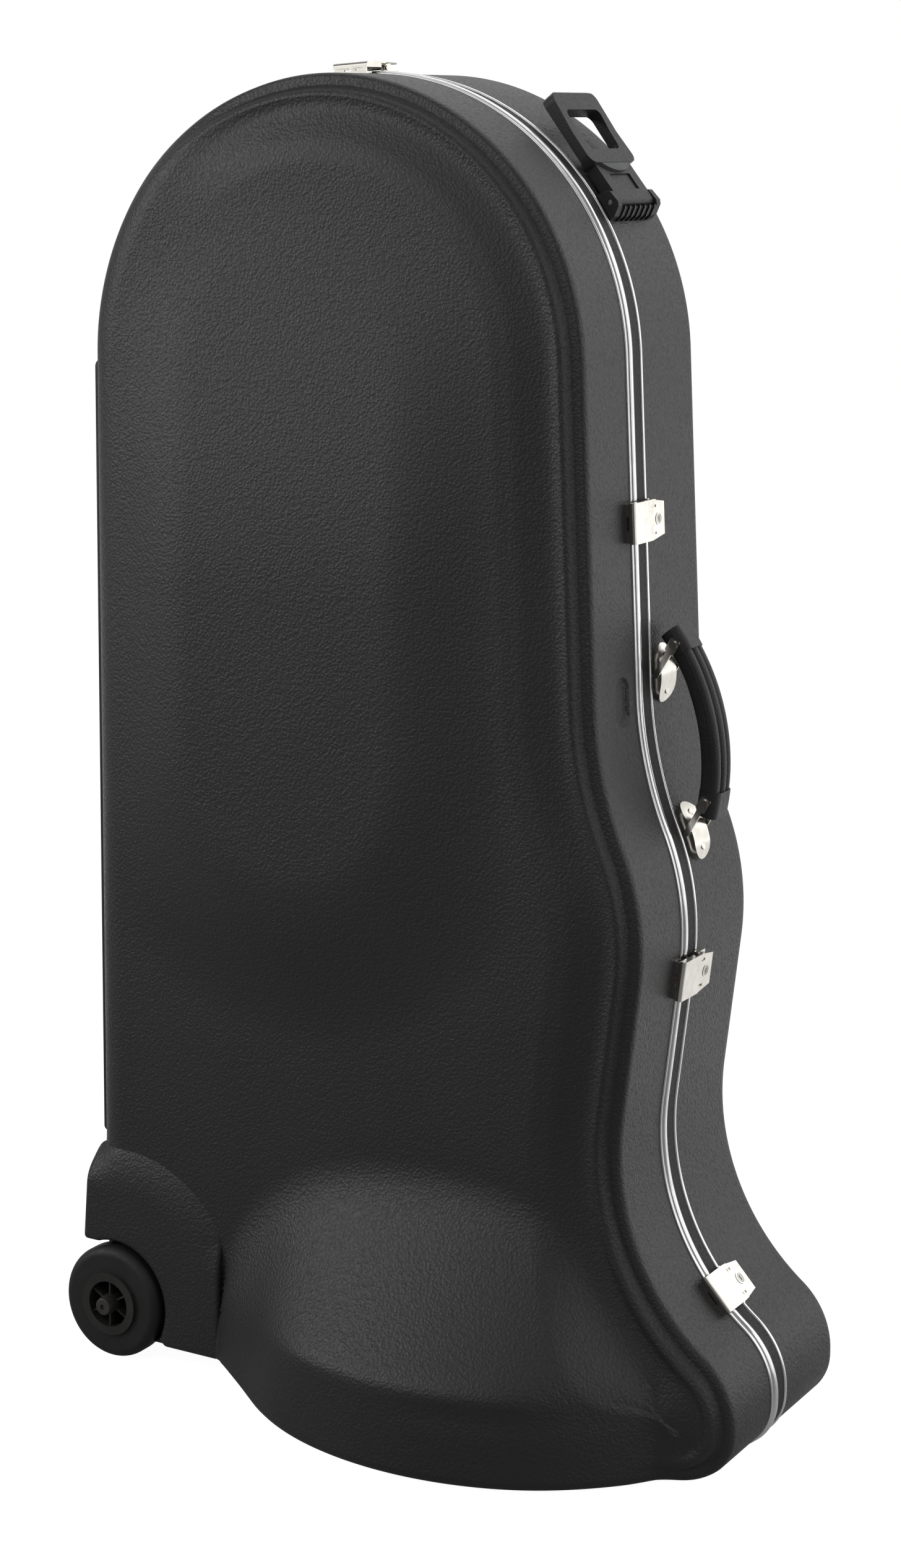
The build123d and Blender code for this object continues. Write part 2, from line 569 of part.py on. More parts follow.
for name, seat in LATCH_SEATS.items():
    keep(latch_base(seat), f"latch_{name}_base")
    keep(latch_keeper(seat), f"latch_{name}_keeper")
    keep(latch_hook(seat), f"latch_{name}_hook")
    keep(latch_lever(seat), f"latch_{name}_lever")
    keep(latch_lock(seat), f"latch_{name}_lock")
with BuildPart() as latch_pins:
    for seat in LATCH_SEATS.values():
        side = seat_planes(*seat)[1]
        with BuildSketch(side):
            with Locations(LEVER_PIN):
                Circle(LEVER_PIN_R)
        extrude(amount=LEVER_PIN_HALF, both=True)
        for place in (-PIN_HEAD_PLACE, PIN_HEAD_PLACE):
            with BuildSketch(side.offset(place)):
                with Locations(LEVER_PIN):
                    Circle(PIN_HEAD_R)
            extrude(amount=PIN_HEAD_H / 2, both=True)
keep(latch_pins.part, "latch_pins")


def pivot(seat):
    """Centre of a handle plate's pivot, as x and z."""
    x, z, angle = seat
    return (ARCH_X + x + PIVOT_OUT * cos(radians(angle)), z + PIVOT_OUT * sin(radians(angle)))


def handle_plate(seat):
    """Domed plate on the back shell with a cross bore for the link and two screw holes."""
    top, _, cross = seat_planes(*seat)
    half_long = PLATE_LONG / 2
    with BuildPart() as plate:
        with BuildSketch(top.offset(PLATE_UNDER)):
            with Locations((HANDLE_Y, 0)):
                SlotOverall(PLATE_LONG, PLATE_WIDE, rotation=90)
        extrude(amount=THROUGH)
        with BuildSketch(cross.offset(HANDLE_Y)):
            with BuildLine():
                ThreePointArc((-half_long, PLATE_EDGE), (0, PLATE_DOME), (half_long, PLATE_EDGE))
                Polyline(
                    (half_long, PLATE_EDGE),
                    (half_long, PLATE_UNDER),
                    (-half_long, PLATE_UNDER),
                    (-half_long, PLATE_EDGE),
                )
            make_face()
        extrude(amount=PLATE_WIDE, both=True, mode=Mode.INTERSECT)
        with BuildSketch(cross.offset(HANDLE_Y)):
            with Locations((0, PIVOT_OUT)):
                Circle(CROSS_PIN_R + RUNNING)
        extrude(amount=PLATE_WIDE, both=True, mode=Mode.SUBTRACT)
        with BuildSketch(top.offset(PLATE_UNDER)):
            with Locations((HANDLE_Y, -PLATE_SCREW_STEP), (HANDLE_Y, PLATE_SCREW_STEP)):
                Circle(SCREW_R)
        extrude(amount=THROUGH, mode=Mode.SUBTRACT)
        add(wall_solid, mode=Mode.SUBTRACT)
    return plate.part


def handle_link(seat, rivet_room):
    """Bent rod and two straps that join a plate's pivot to the grip's rivet."""
    x, z = pivot(seat)
    reach = hypot(LINK_X, LINK_Z)
    turn = degrees(atan2(LINK_Z, LINK_X))
    with BuildPart() as link:
        for near in (HANDLE_Y - STRAP_REACH, HANDLE_Y + STRAP_REACH - STRAP):
            with BuildSketch(Plane.XZ.offset(-near - STRAP)):
                with Locations((x + LINK_X / 2, z + LINK_Z / 2)):
                    SlotCenterToCenter(reach, STRAP_WIDE, rotation=turn)
                with Locations((x + EYE_SHARE * LINK_X, z + EYE_SHARE * LINK_Z)):
                    RectangleRounded(EYE_LONG, EYE_WIDE, EYE_ROUND, rotation=turn)
                with Locations((x + LINK_X, z + LINK_Z)):
                    Circle(RIVET_R + rivet_room, mode=Mode.SUBTRACT)
            extrude(amount=STRAP)
        with BuildSketch(Plane.XZ.offset(-HANDLE_Y)):
            with Locations((x, z)):
                Circle(CROSS_PIN_R)
        extrude(amount=STRAP_REACH - 0.1, both=True)
    return link.part


for name, seat in PLATE_SEATS.items():
    keep(handle_plate(seat), f"handle_plate_{name}")
keep(handle_link(PLATE_SEATS["upper"], RUNNING), "handle_link_upper")
keep(handle_link(PLATE_SEATS["lower"], OPEN_PIVOT), "handle_link_lower")
with BuildPart() as handle_screws:
    for seat in PLATE_SEATS.values():
        with BuildSketch(seat_planes(*seat)[0].offset(PLATE_UNDER)):
            with Locations((HANDLE_Y, -PLATE_SCREW_STEP), (HANDLE_Y, PLATE_SCREW_STEP)):
                Circle(SCREW_R)
        extrude(amount=PLATE_SCREW_H)
    add(wall_solid, mode=Mode.SUBTRACT)
keep(handle_screws.part, "handle_screws")

# Grip: an arc through both rivets, with three ribs along its outside and a cap at each end
rivets = [(pivot(seat)[0] + LINK_X, pivot(seat)[1] + LINK_Z) for seat in PLATE_SEATS.values()]
(rivet_x, rivet_z), (low_x, low_z) = rivets
span = hypot(rivet_x - low_x, rivet_z - low_z)
grip_r = (span**2 / 4 + GRIP_RISE**2) / (2 * GRIP_RISE)
out_x, out_z = (rivet_z - low_z) / span, (low_x - rivet_x) / span
grip_x = (rivet_x + low_x) / 2 - (grip_r - GRIP_RISE) * out_x
grip_z = (rivet_z + low_z) / 2 - (grip_r - GRIP_RISE) * out_z
grip_axis = Axis((grip_x, HANDLE_Y, grip_z), (0, 1, 0))
rivet_turn = degrees(atan2(rivet_z - grip_z, rivet_x - grip_x))
low_turn = degrees(atan2(low_z - grip_z, low_x - grip_x))


def grip_plane(turn):
    """Plane across the grip at an angle round its axis: x is the radius and y is Y."""
    ray = Vector(cos(radians(turn)), 0, sin(radians(turn)))
    return Plane((grip_x, HANDLE_Y, grip_z), x_dir=ray, z_dir=(-ray.Z, 0, ray.X))


with BuildPart() as carry_grip:
    with BuildSketch(grip_plane(rivet_turn + GRIP_PAST - GRIP_TUCK)):
        with Locations((grip_r - GRIP_SUNK, 0)):
            RectangleRounded(GRIP_THICK, GRIP_WIDE, GRIP_ROUND)
        with Locations((grip_r + MIDDLE_RIB_OUT, 0)):
            Circle(RIB_R)
        with Locations((grip_r + SIDE_RIB_OUT, -RIB_STEP), (grip_r + SIDE_RIB_OUT, RIB_STEP)):
            Circle(RIB_R)
    revolve(axis=grip_axis, revolution_arc=rivet_turn - low_turn + 2 * (GRIP_PAST - GRIP_TUCK))
    for cap_start in (rivet_turn + GRIP_PAST, low_turn - GRIP_PAST + CAP_TURN):
        with BuildSketch(grip_plane(cap_start)):
            with Locations((grip_r + CAP_RISE, 0)):
                RectangleRounded(CAP_THICK, CAP_WIDE, CAP_ROUND)
        revolve(axis=grip_axis, revolution_arc=CAP_TURN)
    with BuildSketch(Plane.XZ.offset(-HANDLE_Y)):
        with Locations(*rivets):
            Circle(RIVET_R)
    extrude(amount=GRIP_WIDE, both=True, mode=Mode.SUBTRACT)
keep(carry_grip.part, "carry_grip")
with BuildPart() as grip_rivets:
    with BuildSketch(Plane.XZ.offset(-HANDLE_Y)):
        with Locations(*rivets):
            Circle(RIVET_R)
    extrude(amount=STRAP_REACH + CLEAR, both=True)
    head_out = STRAP_REACH + RIVET_HEAD_OUT
    for place in (HANDLE_Y - head_out, HANDLE_Y + head_out):
        with BuildSketch(Plane.XZ.offset(-place)):
            with Locations(*rivets):
                Circle(RIVET_HEAD_R)
        extrude(amount=RIVET_HEAD_H / 2, both=True)
keep(grip_rivets.part, "grip_rivets")

# Pull handle
pull_seat = (ARCH_R * cos(radians(PULL_ANGLE)), ARCH_Z + ARCH_R * sin(radians(PULL_ANGLE)), PULL_ANGLE)
pull_top, pull_side, pull_cross = seat_planes(*pull_seat)
with BuildPart() as pull_handle_loop:
    with BuildSketch(pull_cross.offset(PULL_Y)):
        with BuildLine():
            pin_up, pin_out = PULL_PIN
            ThreePointArc((pin_up, NECK_TOP), (pin_up - pin_out + NECK_UNDER, pin_out), (pin_up, NECK_UNDER))
            Polyline(
                (pin_up, NECK_UNDER),
                (LOOP_START, NECK_UNDER),
                (LOOP_START + LOOP_UNDER, LOOP_UNDER),
                (LOOP_END, LOOP_UNDER),
            )
            ThreePointArc((LOOP_END, LOOP_UNDER), LOOP_NOSE, (LOOP_END, LOOP_END_TOP))
            Polyline(
                (LOOP_END, LOOP_END_TOP),
                (LOOP_THICKER, LOOP_TOP),
                (LOOP_START, LOOP_TOP),
                (LOOP_START, NECK_TOP),
                (pin_up, NECK_TOP),
            )
        make_face()
    extrude(amount=THROUGH, both=True)
    with BuildSketch(pull_top) as loop_face:
        with BuildLine():
            Polyline(*LOOP_SIDES)
            ThreePointArc(LOOP_SIDES[0], LOOP_FAR_MIDDLE, LOOP_SIDES[-1])
        make_face()
        fillet(loop_face.vertices(), radius=LOOP_CORNER_R)
        with Locations((PULL_Y, (NECK_LOW + NECK_HIGH) / 2)):
            Rectangle(2 * NECK_HALF, NECK_HIGH - NECK_LOW)
    extrude(amount=THROUGH, mode=Mode.INTERSECT)
    with BuildSketch(pull_top) as opening:
        with BuildLine():
            Polyline(*LOOP_OPENING, close=True)
        make_face()
        fillet(opening.vertices(), radius=LOOP_OPENING_R)
    extrude(amount=THROUGH, mode=Mode.SUBTRACT)
    with BuildSketch(pull_top.offset(NECK_TOP - SHALLOW)):
        with Locations((PULL_Y, SHALLOW_PLACE)):
            Rectangle(SHALLOW_WIDE, SHALLOW_LONG)
    extrude(amount=THROUGH, mode=Mode.SUBTRACT)
    with BuildSketch(pull_cross.offset(PULL_Y)):
        with Locations(PULL_PIN):
            Circle(PULL_PIN_R + RUNNING)
    extrude(amount=THROUGH, both=True, mode=Mode.SUBTRACT)
keep(pull_handle_loop.part, "pull_handle_loop")
with BuildPart() as pull_handle_bumper:
    with BuildSketch(pull_top.offset(NECK_TOP)):
        with BuildLine():
            bumper_ends = ((BUMPER_NEAR, BUMPER_TOP), (BUMPER_FAR, BUMPER_TOP))
            ThreePointArc(bumper_ends[0], ((BUMPER_NEAR + BUMPER_FAR) / 2, BUMPER_DIP), bumper_ends[1])
            Line(*bumper_ends)
        make_face()
    extrude(amount=BUMPER_H)
keep(pull_handle_bumper.part, "pull_handle_bumper")
with BuildPart() as pull_handle_base:
    for place in (PULL_Y - PULL_EAR_PLACE, PULL_Y + PULL_EAR_PLACE):
        with BuildSketch(pull_cross.offset(place)):
            with BuildLine():
                Polyline(*PULL_EAR, close=True)
            make_face()
        extrude(amount=PULL_EAR_THICK / 2, both=True)
    with BuildSketch(pull_cross.offset(PULL_Y)):
        with BuildLine():
            Polyline(*PULL_WALL, close=True)
        make_face()
    extrude(amount=PULL_WALL_HALF, both=True)
    for number in range(PULL_RIB_COUNT):
        across = (number - (PULL_RIB_COUNT - 1) / 2) * PULL_RIB_STEP
        with BuildSketch(pull_cross.offset(PULL_Y + across)):
            with BuildLine():
                Polyline(*PULL_RIB, close=True)
            make_face()
        extrude(amount=PULL_RIB_THICK / 2, both=True)
    with BuildSketch(pull_cross.offset(PULL_Y)):
        with Locations(PULL_PIN):
            Circle(PULL_PIN_R)
    extrude(amount=THROUGH, both=True, mode=Mode.SUBTRACT)
    add(back_outer, mode=Mode.SUBTRACT)
    add(trim_room, mode=Mode.SUBTRACT)
keep(pull_handle_base.part, "pull_handle_base")
with BuildPart() as pull_handle_pin:
    with BuildSketch(pull_cross.offset(PULL_Y)):
        with Locations(PULL_PIN):
            Circle(PULL_PIN_R)
    extrude(amount=PULL_PIN_HALF, both=True)
keep(pull_handle_pin.part, "pull_handle_pin")

# Wheels, made for the lid and mirrored for the back shell
wheel_place = (ARCH_X + WHEEL_X, WHEEL_R)
wheel_back = WHEEL_FACE - WHEEL_WIDTH
with BuildPart() as tyre:
    with BuildSketch(Plane.XZ.offset(wheel_back)):
        with Locations(wheel_place):
            Circle(WHEEL_R)
            Circle(HUB_R, mode=Mode.SUBTRACT)
    extrude(amount=WHEEL_WIDTH)
    rims = tyre.edges().filter_by(GeomType.CIRCLE).group_by(SortBy.RADIUS)[-1]
    fillet(rims, radius=TYRE_ROUND)
with BuildPart() as hub:
    with BuildSketch(Plane.XZ.offset(wheel_back + HUB_BACK)):
        with Locations(wheel_place):
            Circle(HUB_R)
            Circle(HUB_OPEN_R, mode=Mode.SUBTRACT)
    extrude(amount=WHEEL_WIDTH - HUB_BACK + RING_OUT)
    with BuildSketch(Plane.XZ.offset(wheel_back)):
        with Locations(wheel_place):
            Circle(BOSS_R)
    extrude(amount=WHEEL_WIDTH + BOSS_OUT)
    with BuildSketch(Plane.XZ.offset(wheel_back + SPOKE_BACK)):
        with Locations(wheel_place):
            with PolarLocations((BOSS_R + HUB_OPEN_R) / 2, SPOKES, start_angle=180 / SPOKES):
                Rectangle(HUB_OPEN_R - BOSS_R + 2, SPOKE_THICK)
    extrude(amount=WHEEL_WIDTH - SPOKE_BACK)
    with BuildSketch(Plane.XZ.offset(wheel_back + SPOKE_BACK)):
        with Locations(wheel_place):
            Circle(HUB_OPEN_R + 1)
    extrude(amount=WEB_THICK)
    with BuildSketch(Plane.XZ.offset(wheel_back)):
        with Locations(wheel_place):
            Circle(AXLE_R + RUNNING)
    extrude(amount=THROUGH, both=True, mode=Mode.SUBTRACT)
with BuildPart() as axle:
    with BuildSketch(Plane.XZ.offset(POCKET_BACK)):
        with Locations(wheel_place):
            Circle(AXLE_PLATE_R)
    extrude(amount=AXLE_PLATE_THICK)
    with BuildSketch(Plane.XZ.offset(POCKET_BACK)):
        with Locations(wheel_place):
            Circle(AXLE_COLLAR_R)
    extrude(amount=wheel_back - POCKET_BACK - CLEAR)
    with BuildSketch(Plane.XZ.offset(POCKET_BACK)):
        with Locations(wheel_place):
            Circle(AXLE_R)
    extrude(amount=WHEEL_FACE + BOSS_OUT + AXLE_PAST - POCKET_BACK)
cap_start = WHEEL_FACE + BOSS_OUT + CAP_GAP
with BuildPart() as axle_cap:
    with BuildSketch(Plane.XZ.offset(cap_start)):
        with Locations(wheel_place):
            Circle(BOSS_R - 1)
    extrude(amount=CAP_OUT)
    fillet(axle_cap.faces().sort_by(Axis.Y)[0].edges(), radius=CAP_EDGE_R)
    with BuildSketch(Plane.XZ.offset(cap_start)):
        with Locations(wheel_place):
            Circle(AXLE_R)
    extrude(amount=CAP_BORE, mode=Mode.SUBTRACT)
    with BuildSketch(Plane.XZ.offset(cap_start + CAP_OUT - CAP_SOCKET_DEEP)):
        with Locations(wheel_place):
            RegularPolygon(CAP_SOCKET_R, 6)
    extrude(amount=THROUGH, mode=Mode.SUBTRACT)
for piece, name in ((tyre, "tyre"), (hub, "hub"), (axle, "axle"), (axle_cap, "axle_cap")):
    keep(piece.part, f"front_{name}")
    keep(mirror(piece.part, about=Plane.XZ), f"rear_{name}")

# Runners on the straight side
with BuildPart() as runner:
    with BuildSketch(Plane((wall_x, -RUNNER_Y, 0), x_dir=(0, 1, 0), z_dir=(-1, 0, 0))):
        with Locations((0, -(RUNNER_LOW + RUNNER_HIGH) / 2)):
            RectangleRounded(RUNNER_WIDTH, RUNNER_HIGH - RUNNER_LOW, RUNNER_END_R)
    extrude(amount=RUNNER_OUT)
    fillet(runner.faces().sort_by(Axis.X)[0].edges(), radius=RUNNER_EDGE_R)
keep(runner.part, "lid_runner")
keep(mirror(runner.part, about=Plane.XZ), "back_runner")

# Feet under the bell end
with BuildPart() as feet:
    with BuildSketch(Plane.XY):
        with Locations(*[(ARCH_X + x, -y) for x, y in FOOT_PLACES]):
            Circle(FOOT_R)
    extrude(amount=FOOT_H)
keep(feet.part, "lid_feet")
keep(mirror(feet.part, about=Plane.XZ), "back_feet")

print(len(parts), "pieces")
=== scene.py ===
import bmesh
import bpy
import json
import math
import numpy as np
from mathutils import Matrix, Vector
from mathutils.geometry import delaunay_2d_cdt
from mathutils.kdtree import KDTree


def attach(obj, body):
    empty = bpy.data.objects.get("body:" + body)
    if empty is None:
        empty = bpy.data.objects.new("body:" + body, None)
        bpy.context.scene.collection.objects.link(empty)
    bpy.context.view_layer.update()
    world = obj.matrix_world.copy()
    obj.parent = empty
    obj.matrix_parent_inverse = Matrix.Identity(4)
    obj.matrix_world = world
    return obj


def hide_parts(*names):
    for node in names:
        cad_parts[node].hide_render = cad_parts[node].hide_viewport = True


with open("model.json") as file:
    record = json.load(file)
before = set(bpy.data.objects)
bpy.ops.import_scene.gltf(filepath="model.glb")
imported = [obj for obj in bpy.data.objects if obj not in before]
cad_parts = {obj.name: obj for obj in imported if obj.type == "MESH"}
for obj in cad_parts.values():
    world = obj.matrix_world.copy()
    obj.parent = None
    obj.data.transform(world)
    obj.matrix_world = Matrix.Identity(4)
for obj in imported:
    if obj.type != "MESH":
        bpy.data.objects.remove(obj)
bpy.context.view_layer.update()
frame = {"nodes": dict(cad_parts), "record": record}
nodes = frame["nodes"]

# Driving sizes, in millimetres. X is counted from the middle of the top arch. A pair of numbers is a
# range over which a form changes.
MM = 0.001
ARCH_X, ARCH_Z, ARCH_R = -60.135, 894.0, 241.0
LATCH_SIDE_X, HINGE_SIDE_X = 200.0, -200.0
# The floor: the bell end stands lower, with a step under the body and a slope under the drum
FLOOR_Z, WHEEL_END_Z, STEP_X, STEP_HALF, FLOOR_FADE = 3.0, 18.0, -95.0, 3.0, 60.0
FLOOR_SLOPE, DRUM_AHEAD = (25.0, 100.0), (60.0, 100.0)
WALL = 3.0
LINING_OUT, LINING_IN, LINING_GAP, LINING_FILL = 3.2, 8.4, 1.0, 0.6
# The rim: where the beaded rim begins and ends, and the plain rounding elsewhere
BEAD_END_TURN, BEAD_LOW_Z, BEAD_LOW_X = (100.0, 142.0), 60.0, (300.0, 372.0)
PLAIN_R, LEAST_R, HINGE_SIDE_R, HINGE_SIDE_TURN = 24.0, 3.0, 34.0, (100.0, 170.0)
FLOOR_R, DRUM_R, DRUM_R_X, LOW_RIM_Z = 5.5, 9.5, (-80.0, -20.0), (60.0, 200.0)
# The bell bulge: a drum, a soft mound above it, the crease between them and a valley beside the rim
BELL_X, BELL_HALF_X, BELL_HALF_Y, DRUM_TOP = 120.0, 235.0, 205.0, 80.0
MOUND_HIGH, MOUND_LEFT, MOUND_RIGHT, MOUND_LEAST = 153.0, 218.0, 200.0, 14.0
MOUND_FALL, MOUND_FOOT, MOUND_POWER, ROUND_LEFT, ROUND_RIGHT = 1.25, 9.0, 2.5, 0.4, 0.6
DRUM_BLEND, DRUM_END_BLEND, DRUM_END = 6.0, 22.0, (20.0, 90.0)
CREASE, CREASE_LEFT, CREASE_RIGHT = 2.0, 9.0, 12.0
CREASE_LEFT_RUN, CREASE_RIGHT_RUN = (-40.0, 60.0), (210.0, 300.0)
VALLEY_WIDTH, VALLEY_Z, VALLEY_X = (10.0, 74.0), (45.0, 130.0), (100.0, 200.0)
# The raised panel
PANEL_X, PANEL_LOW, PANEL_HIGH, PANEL_DEPTH = -22.0, 560.0, 888.0, 126.0
PANEL_TOP_R, PANEL_FOOT_R, PANEL_WIDER, PANEL_WIDER_Z = 96.0, 208.0, 40.0, 400.0
PANEL_FADE = (700.0, 1060.0)
# The wheel housing with its fender, and the pocket that the wheel stands in
HOUSING_X, HOUSING_Z, HOUSING_R, HOUSING_DEPTH = -205.0, 68.0, 120.0, 113.0
HOUSING_END_X, HOUSING_BACK, HOUSING_SOFT, HOUSING_EDGE = -100.0, 78.0, 36.0, 4.0
HOUSING_TURN, HOUSING_SOFT_X, HOUSING_SOFT_NEAR = 99.6, -232.0, 1.0
HOUSING_END_R, HOUSING_FOOT_R, HOUSING_LIP_R, FENDER_LOW_R, FENDER_HIGH_R = 5.0, 7.0, 2.0, 4.0, 8.0
HOUSING_RINGS, HOUSING_GRID, HOUSING_GRID_CLEAR = (0.0, 0.6, 1.6, 3.0, 5.0), 6.0, 7.0
FENDER_X, FENDER_LOW_Z, FENDER_HIGH_Z = -247.0, 101.0, 188.0
WHEEL_X, WHEEL_Z, POCKET_R, POCKET_DEPTH = -213.0, 50.0, 54.0, 88.0
POCKET_WALL, POCKET_FOOT_TURN, POCKET_LIP_TURN = (1.0, 7.0), 0.12, 0.05
# The thumb dimple, and how much closer the points lie near it
DIMPLE_DEPTH, DIMPLE_Z, DIMPLE_HALF, DIMPLE_R, DIMPLE_SUNK = 35.0, 623.0, 9.5, 11.0, 2.7
DIMPLE_EDGE, DIMPLE_REACH, DIMPLE_SPLIT = 1.8, 30.0, 3
# The two halves: wall_rows is the number of rows of points down the outer wall
LID = {
    "name": "lid", "body": "lid", "facing": -1, "start": 12.0, "depth": 106.0, "edge": 24.0,
    "beaded": True, "wall_rows": 40,
}
BACK = {
    "name": "back", "body": "base", "facing": 1, "start": 18.0, "depth": 116.0, "edge": 8.5,
    "beaded": False, "wall_rows": 24,
}
# The metal edges: each bead's near and far depth and its height
GROOVE, GROOVE_NEAR, GROOVE_FAR, EDGE_NEAR = 0.2, 7.2, 9.6, 0.2
MAIN_BEAD, THIN_BEAD, BACK_BEAD, BACK_NEAR = (0.3, 7.0, 2.2), (9.8, 12.0, 1.4), (14.3, 17.8, 1.2), 14.0
# Spacing of the mesh points: along the outline, and in from it to the spine where the rows meet
OUTLINE_STEP, SHELL_STEP, LINING_STEP, STRIP_STEP, HOUSING_STEP = 1.0, 3.6, 6.0, 4.0, 2.0
SHELL_RIM_ROWS, SHELL_INNER_ROWS, INSIDE_ROWS, LINING_ROWS = 29, 44, (2, 6, 12), (8, 12, 26)
RIM_WIDTH, RIM_MARKS = 60.0, ((0, 4, 6), (6, 9.5, 2), (10.5, 20, 12), (23, 60, 9))
REACH_HINGE, REACH_LOW, REACH_HIGH = 17.0, 30.0, 60.0
REACH_HINGE_X, REACH_HIGH_Z, REACH_SMOOTHING = -150.0, 240.0, 1500
SPINE_LOW, SPINE_HIGH, SPINE_LOW_X, SPINE_HIGH_X, SPINE_STEP = 262.0, 860.0, 60.0, -10.0, 2.5
CREASE_ROWS, CREASE_SHARE, CREASE_SHARE_ABOVE, CREASE_SHARE_Z = 4, (0.02, 0.3), 0.18, (90.0, 250.0)
ARCH_POINTS, CORNER_POINTS, ROUND_POINTS, HOUSING_POINTS, POCKET_POINTS = 200, 60, 9, 40, 50
WELD, SAME_POINT, TOUCH, SMOOTH_ANGLE = 1e-6, 1e-3, 1e-4, 40
# Corners of the outline from the arch down the latch side and along the floor: x, z and radius
CORNERS = (
    (254.4, 568.3, 325.0),
    (301.2, 458.0, 214.0),
    (264.2, 176.8, 198.0),
    (381.4, 84.4, 68.0),
    (380.6, FLOOR_Z, 44.0),
    (-ARCH_R, FLOOR_Z, 34.0),
)
# Beaded rim of the lid: distance in from the outline, and how far the face lies behind the front there
BEADED_RIM = (
    (0, 27), (0.5, 24), (2.5, 21.6), (5, 21), (9.5, 21), (11, 20.2), (12.5, 17.5), (14, 14.2), (16, 12),
    (18.5, 11.2), (21, 11.9), (25, 13.2), (31, 12.4), (42, 8.5), (56, 3), (72, 0),
)


def smooth_step(value, low, high):
    """0 below low, 1 above high, with an easy curve between."""
    t = np.clip((value - low) / (high - low), 0, 1)
    return t * t * (3 - 2 * t)


def soft_positive(value, reach):
    """The value where it is well above 0, and nearly 0 below, rounded within reach of 0."""
    return (value + np.sqrt(value * value + 4 * reach * reach)) / 2


# The outline
def rounded_line(points):
    """Dense points along straight runs, with each inner corner rounded to its radius."""
    path = [np.array(points[0][:2], float)]
    for before, corner, after in zip(points, points[1:], points[2:]):
        here = np.array(corner[:2], float)
        back = np.array(before[:2], float) - here
        ahead = np.array(after[:2], float) - here
        back /= np.linalg.norm(back)
        ahead /= np.linalg.norm(ahead)
        half = math.acos(float(np.clip(back @ ahead, -1, 1))) / 2
        reach = corner[2] / math.tan(half)
        middle = back + ahead
        centre = here + middle / np.linalg.norm(middle) * corner[2] / math.sin(half)
        first = here + back * reach - centre
        last = here + ahead * reach - centre
        sweep = math.atan2(first[0] * last[1] - first[1] * last[0], float(first @ last))
        for t in np.linspace(0, 1, CORNER_POINTS):
            c, s = math.cos(sweep * t), math.sin(sweep * t)
            path.append(centre + np.array((c * first[0] - s * first[1], s * first[0] + c * first[1])))
    path.append(np.array(points[-1][:2], float))
    return path


def even_points(path, step):
    """Points an even step apart along a closed path, and the direction that points away on its left."""
    path = np.array(path)
    run = np.concatenate(([0], np.cumsum(np.linalg.norm(np.diff(path, axis=0), axis=1))))
    count = max(int(run[-1] / step), 2) + 1
    marks = np.linspace(0, run[-1], count)[:-1]
    even = np.stack([np.interp(marks, run, path[:, 0]), np.interp(marks, run, path[:, 1])], 1)
    tangent = np.roll(even, -1, 0) - np.roll(even, 1, 0)
    tangent /= np.linalg.norm(tangent, axis=1)[:, None]
    return even, np.stack([-tangent[:, 1], tangent[:, 0]], 1)


def case_outline(step):
    """The closed outline on the parting plane, from the hinge side over the arch, and the ways outward."""
    first_x, first_z = CORNERS[0][0], CORNERS[0][1] - ARCH_Z
    turn = math.atan2(first_z, first_x) + math.acos(ARCH_R / math.hypot(first_x, first_z))
    angles = np.linspace(math.pi, turn, ARCH_POINTS)
    arch = [(ARCH_R * math.cos(a), ARCH_Z + ARCH_R * math.sin(a)) for a in angles]
    start, end = (*arch[-1], 0), (-ARCH_R, ARCH_Z, 0)
    edge, outward = even_points(arch + rounded_line([start, *CORNERS, end])[1:], step)
    places = []
    for number, (x, z) in enumerate(edge):
        beside_dimple = x > LATCH_SIDE_X and abs(z - DIMPLE_Z) < DIMPLE_REACH
        places += [number + share / DIMPLE_SPLIT for share in range(DIMPLE_SPLIT if beside_dimple else 1)]
    numbers = np.arange(len(edge))
    columns = [np.interp(places, numbers, side) for side in (*edge.T, *outward.T)]
    return np.stack(columns[:2], 1), np.stack(columns[2:], 1)


def rim_kind(points):
    """For each outline point, how much of the beaded rim it has, and its plain rounding radius."""
    x, z = points[:, 0], points[:, 1]
    turn = np.degrees(np.arctan2(z - ARCH_Z, x))
    over_arch = np.where(z > ARCH_Z, 1 - smooth_step(turn, *BEAD_END_TURN), 1.0)
    bead = np.where(x > 0, 1.0, np.where(z > ARCH_Z, over_arch, 0.0))
    bead = np.where(z < BEAD_LOW_Z, smooth_step(x, *BEAD_LOW_X), bead)
    radius = np.where(x < HINGE_SIDE_X, HINGE_SIDE_R, PLAIN_R)
    arch_radius = PLAIN_R + (HINGE_SIDE_R - PLAIN_R) * smooth_step(turn, *HINGE_SIDE_TURN)
    radius = np.where(z > ARCH_Z, arch_radius, radius)
    low = 1 - smooth_step(z, *LOW_RIM_Z)
    floor = FLOOR_R + (DRUM_R - FLOOR_R) * smooth_step(x, *DRUM_R_X)
    return bead, radius * (1 - low) + floor * low


outline_points, _ = case_outline(OUTLINE_STEP)
outline_bead, outline_radius = rim_kind(outline_points)
outline_tree = KDTree(len(outline_points))
for number, (px, pz) in enumerate(outline_points):
    outline_tree.insert((px, pz, 0), number)
outline_tree.balance()


def near_outline(x, z):
    """Distance from each point to the outline, and the number of the outline point nearest to it."""
    found = [outline_tree.find((px, pz, 0)) for px, pz in zip(x, z)]
    return np.array([f[2] for f in found]), np.array([f[1] for f in found])


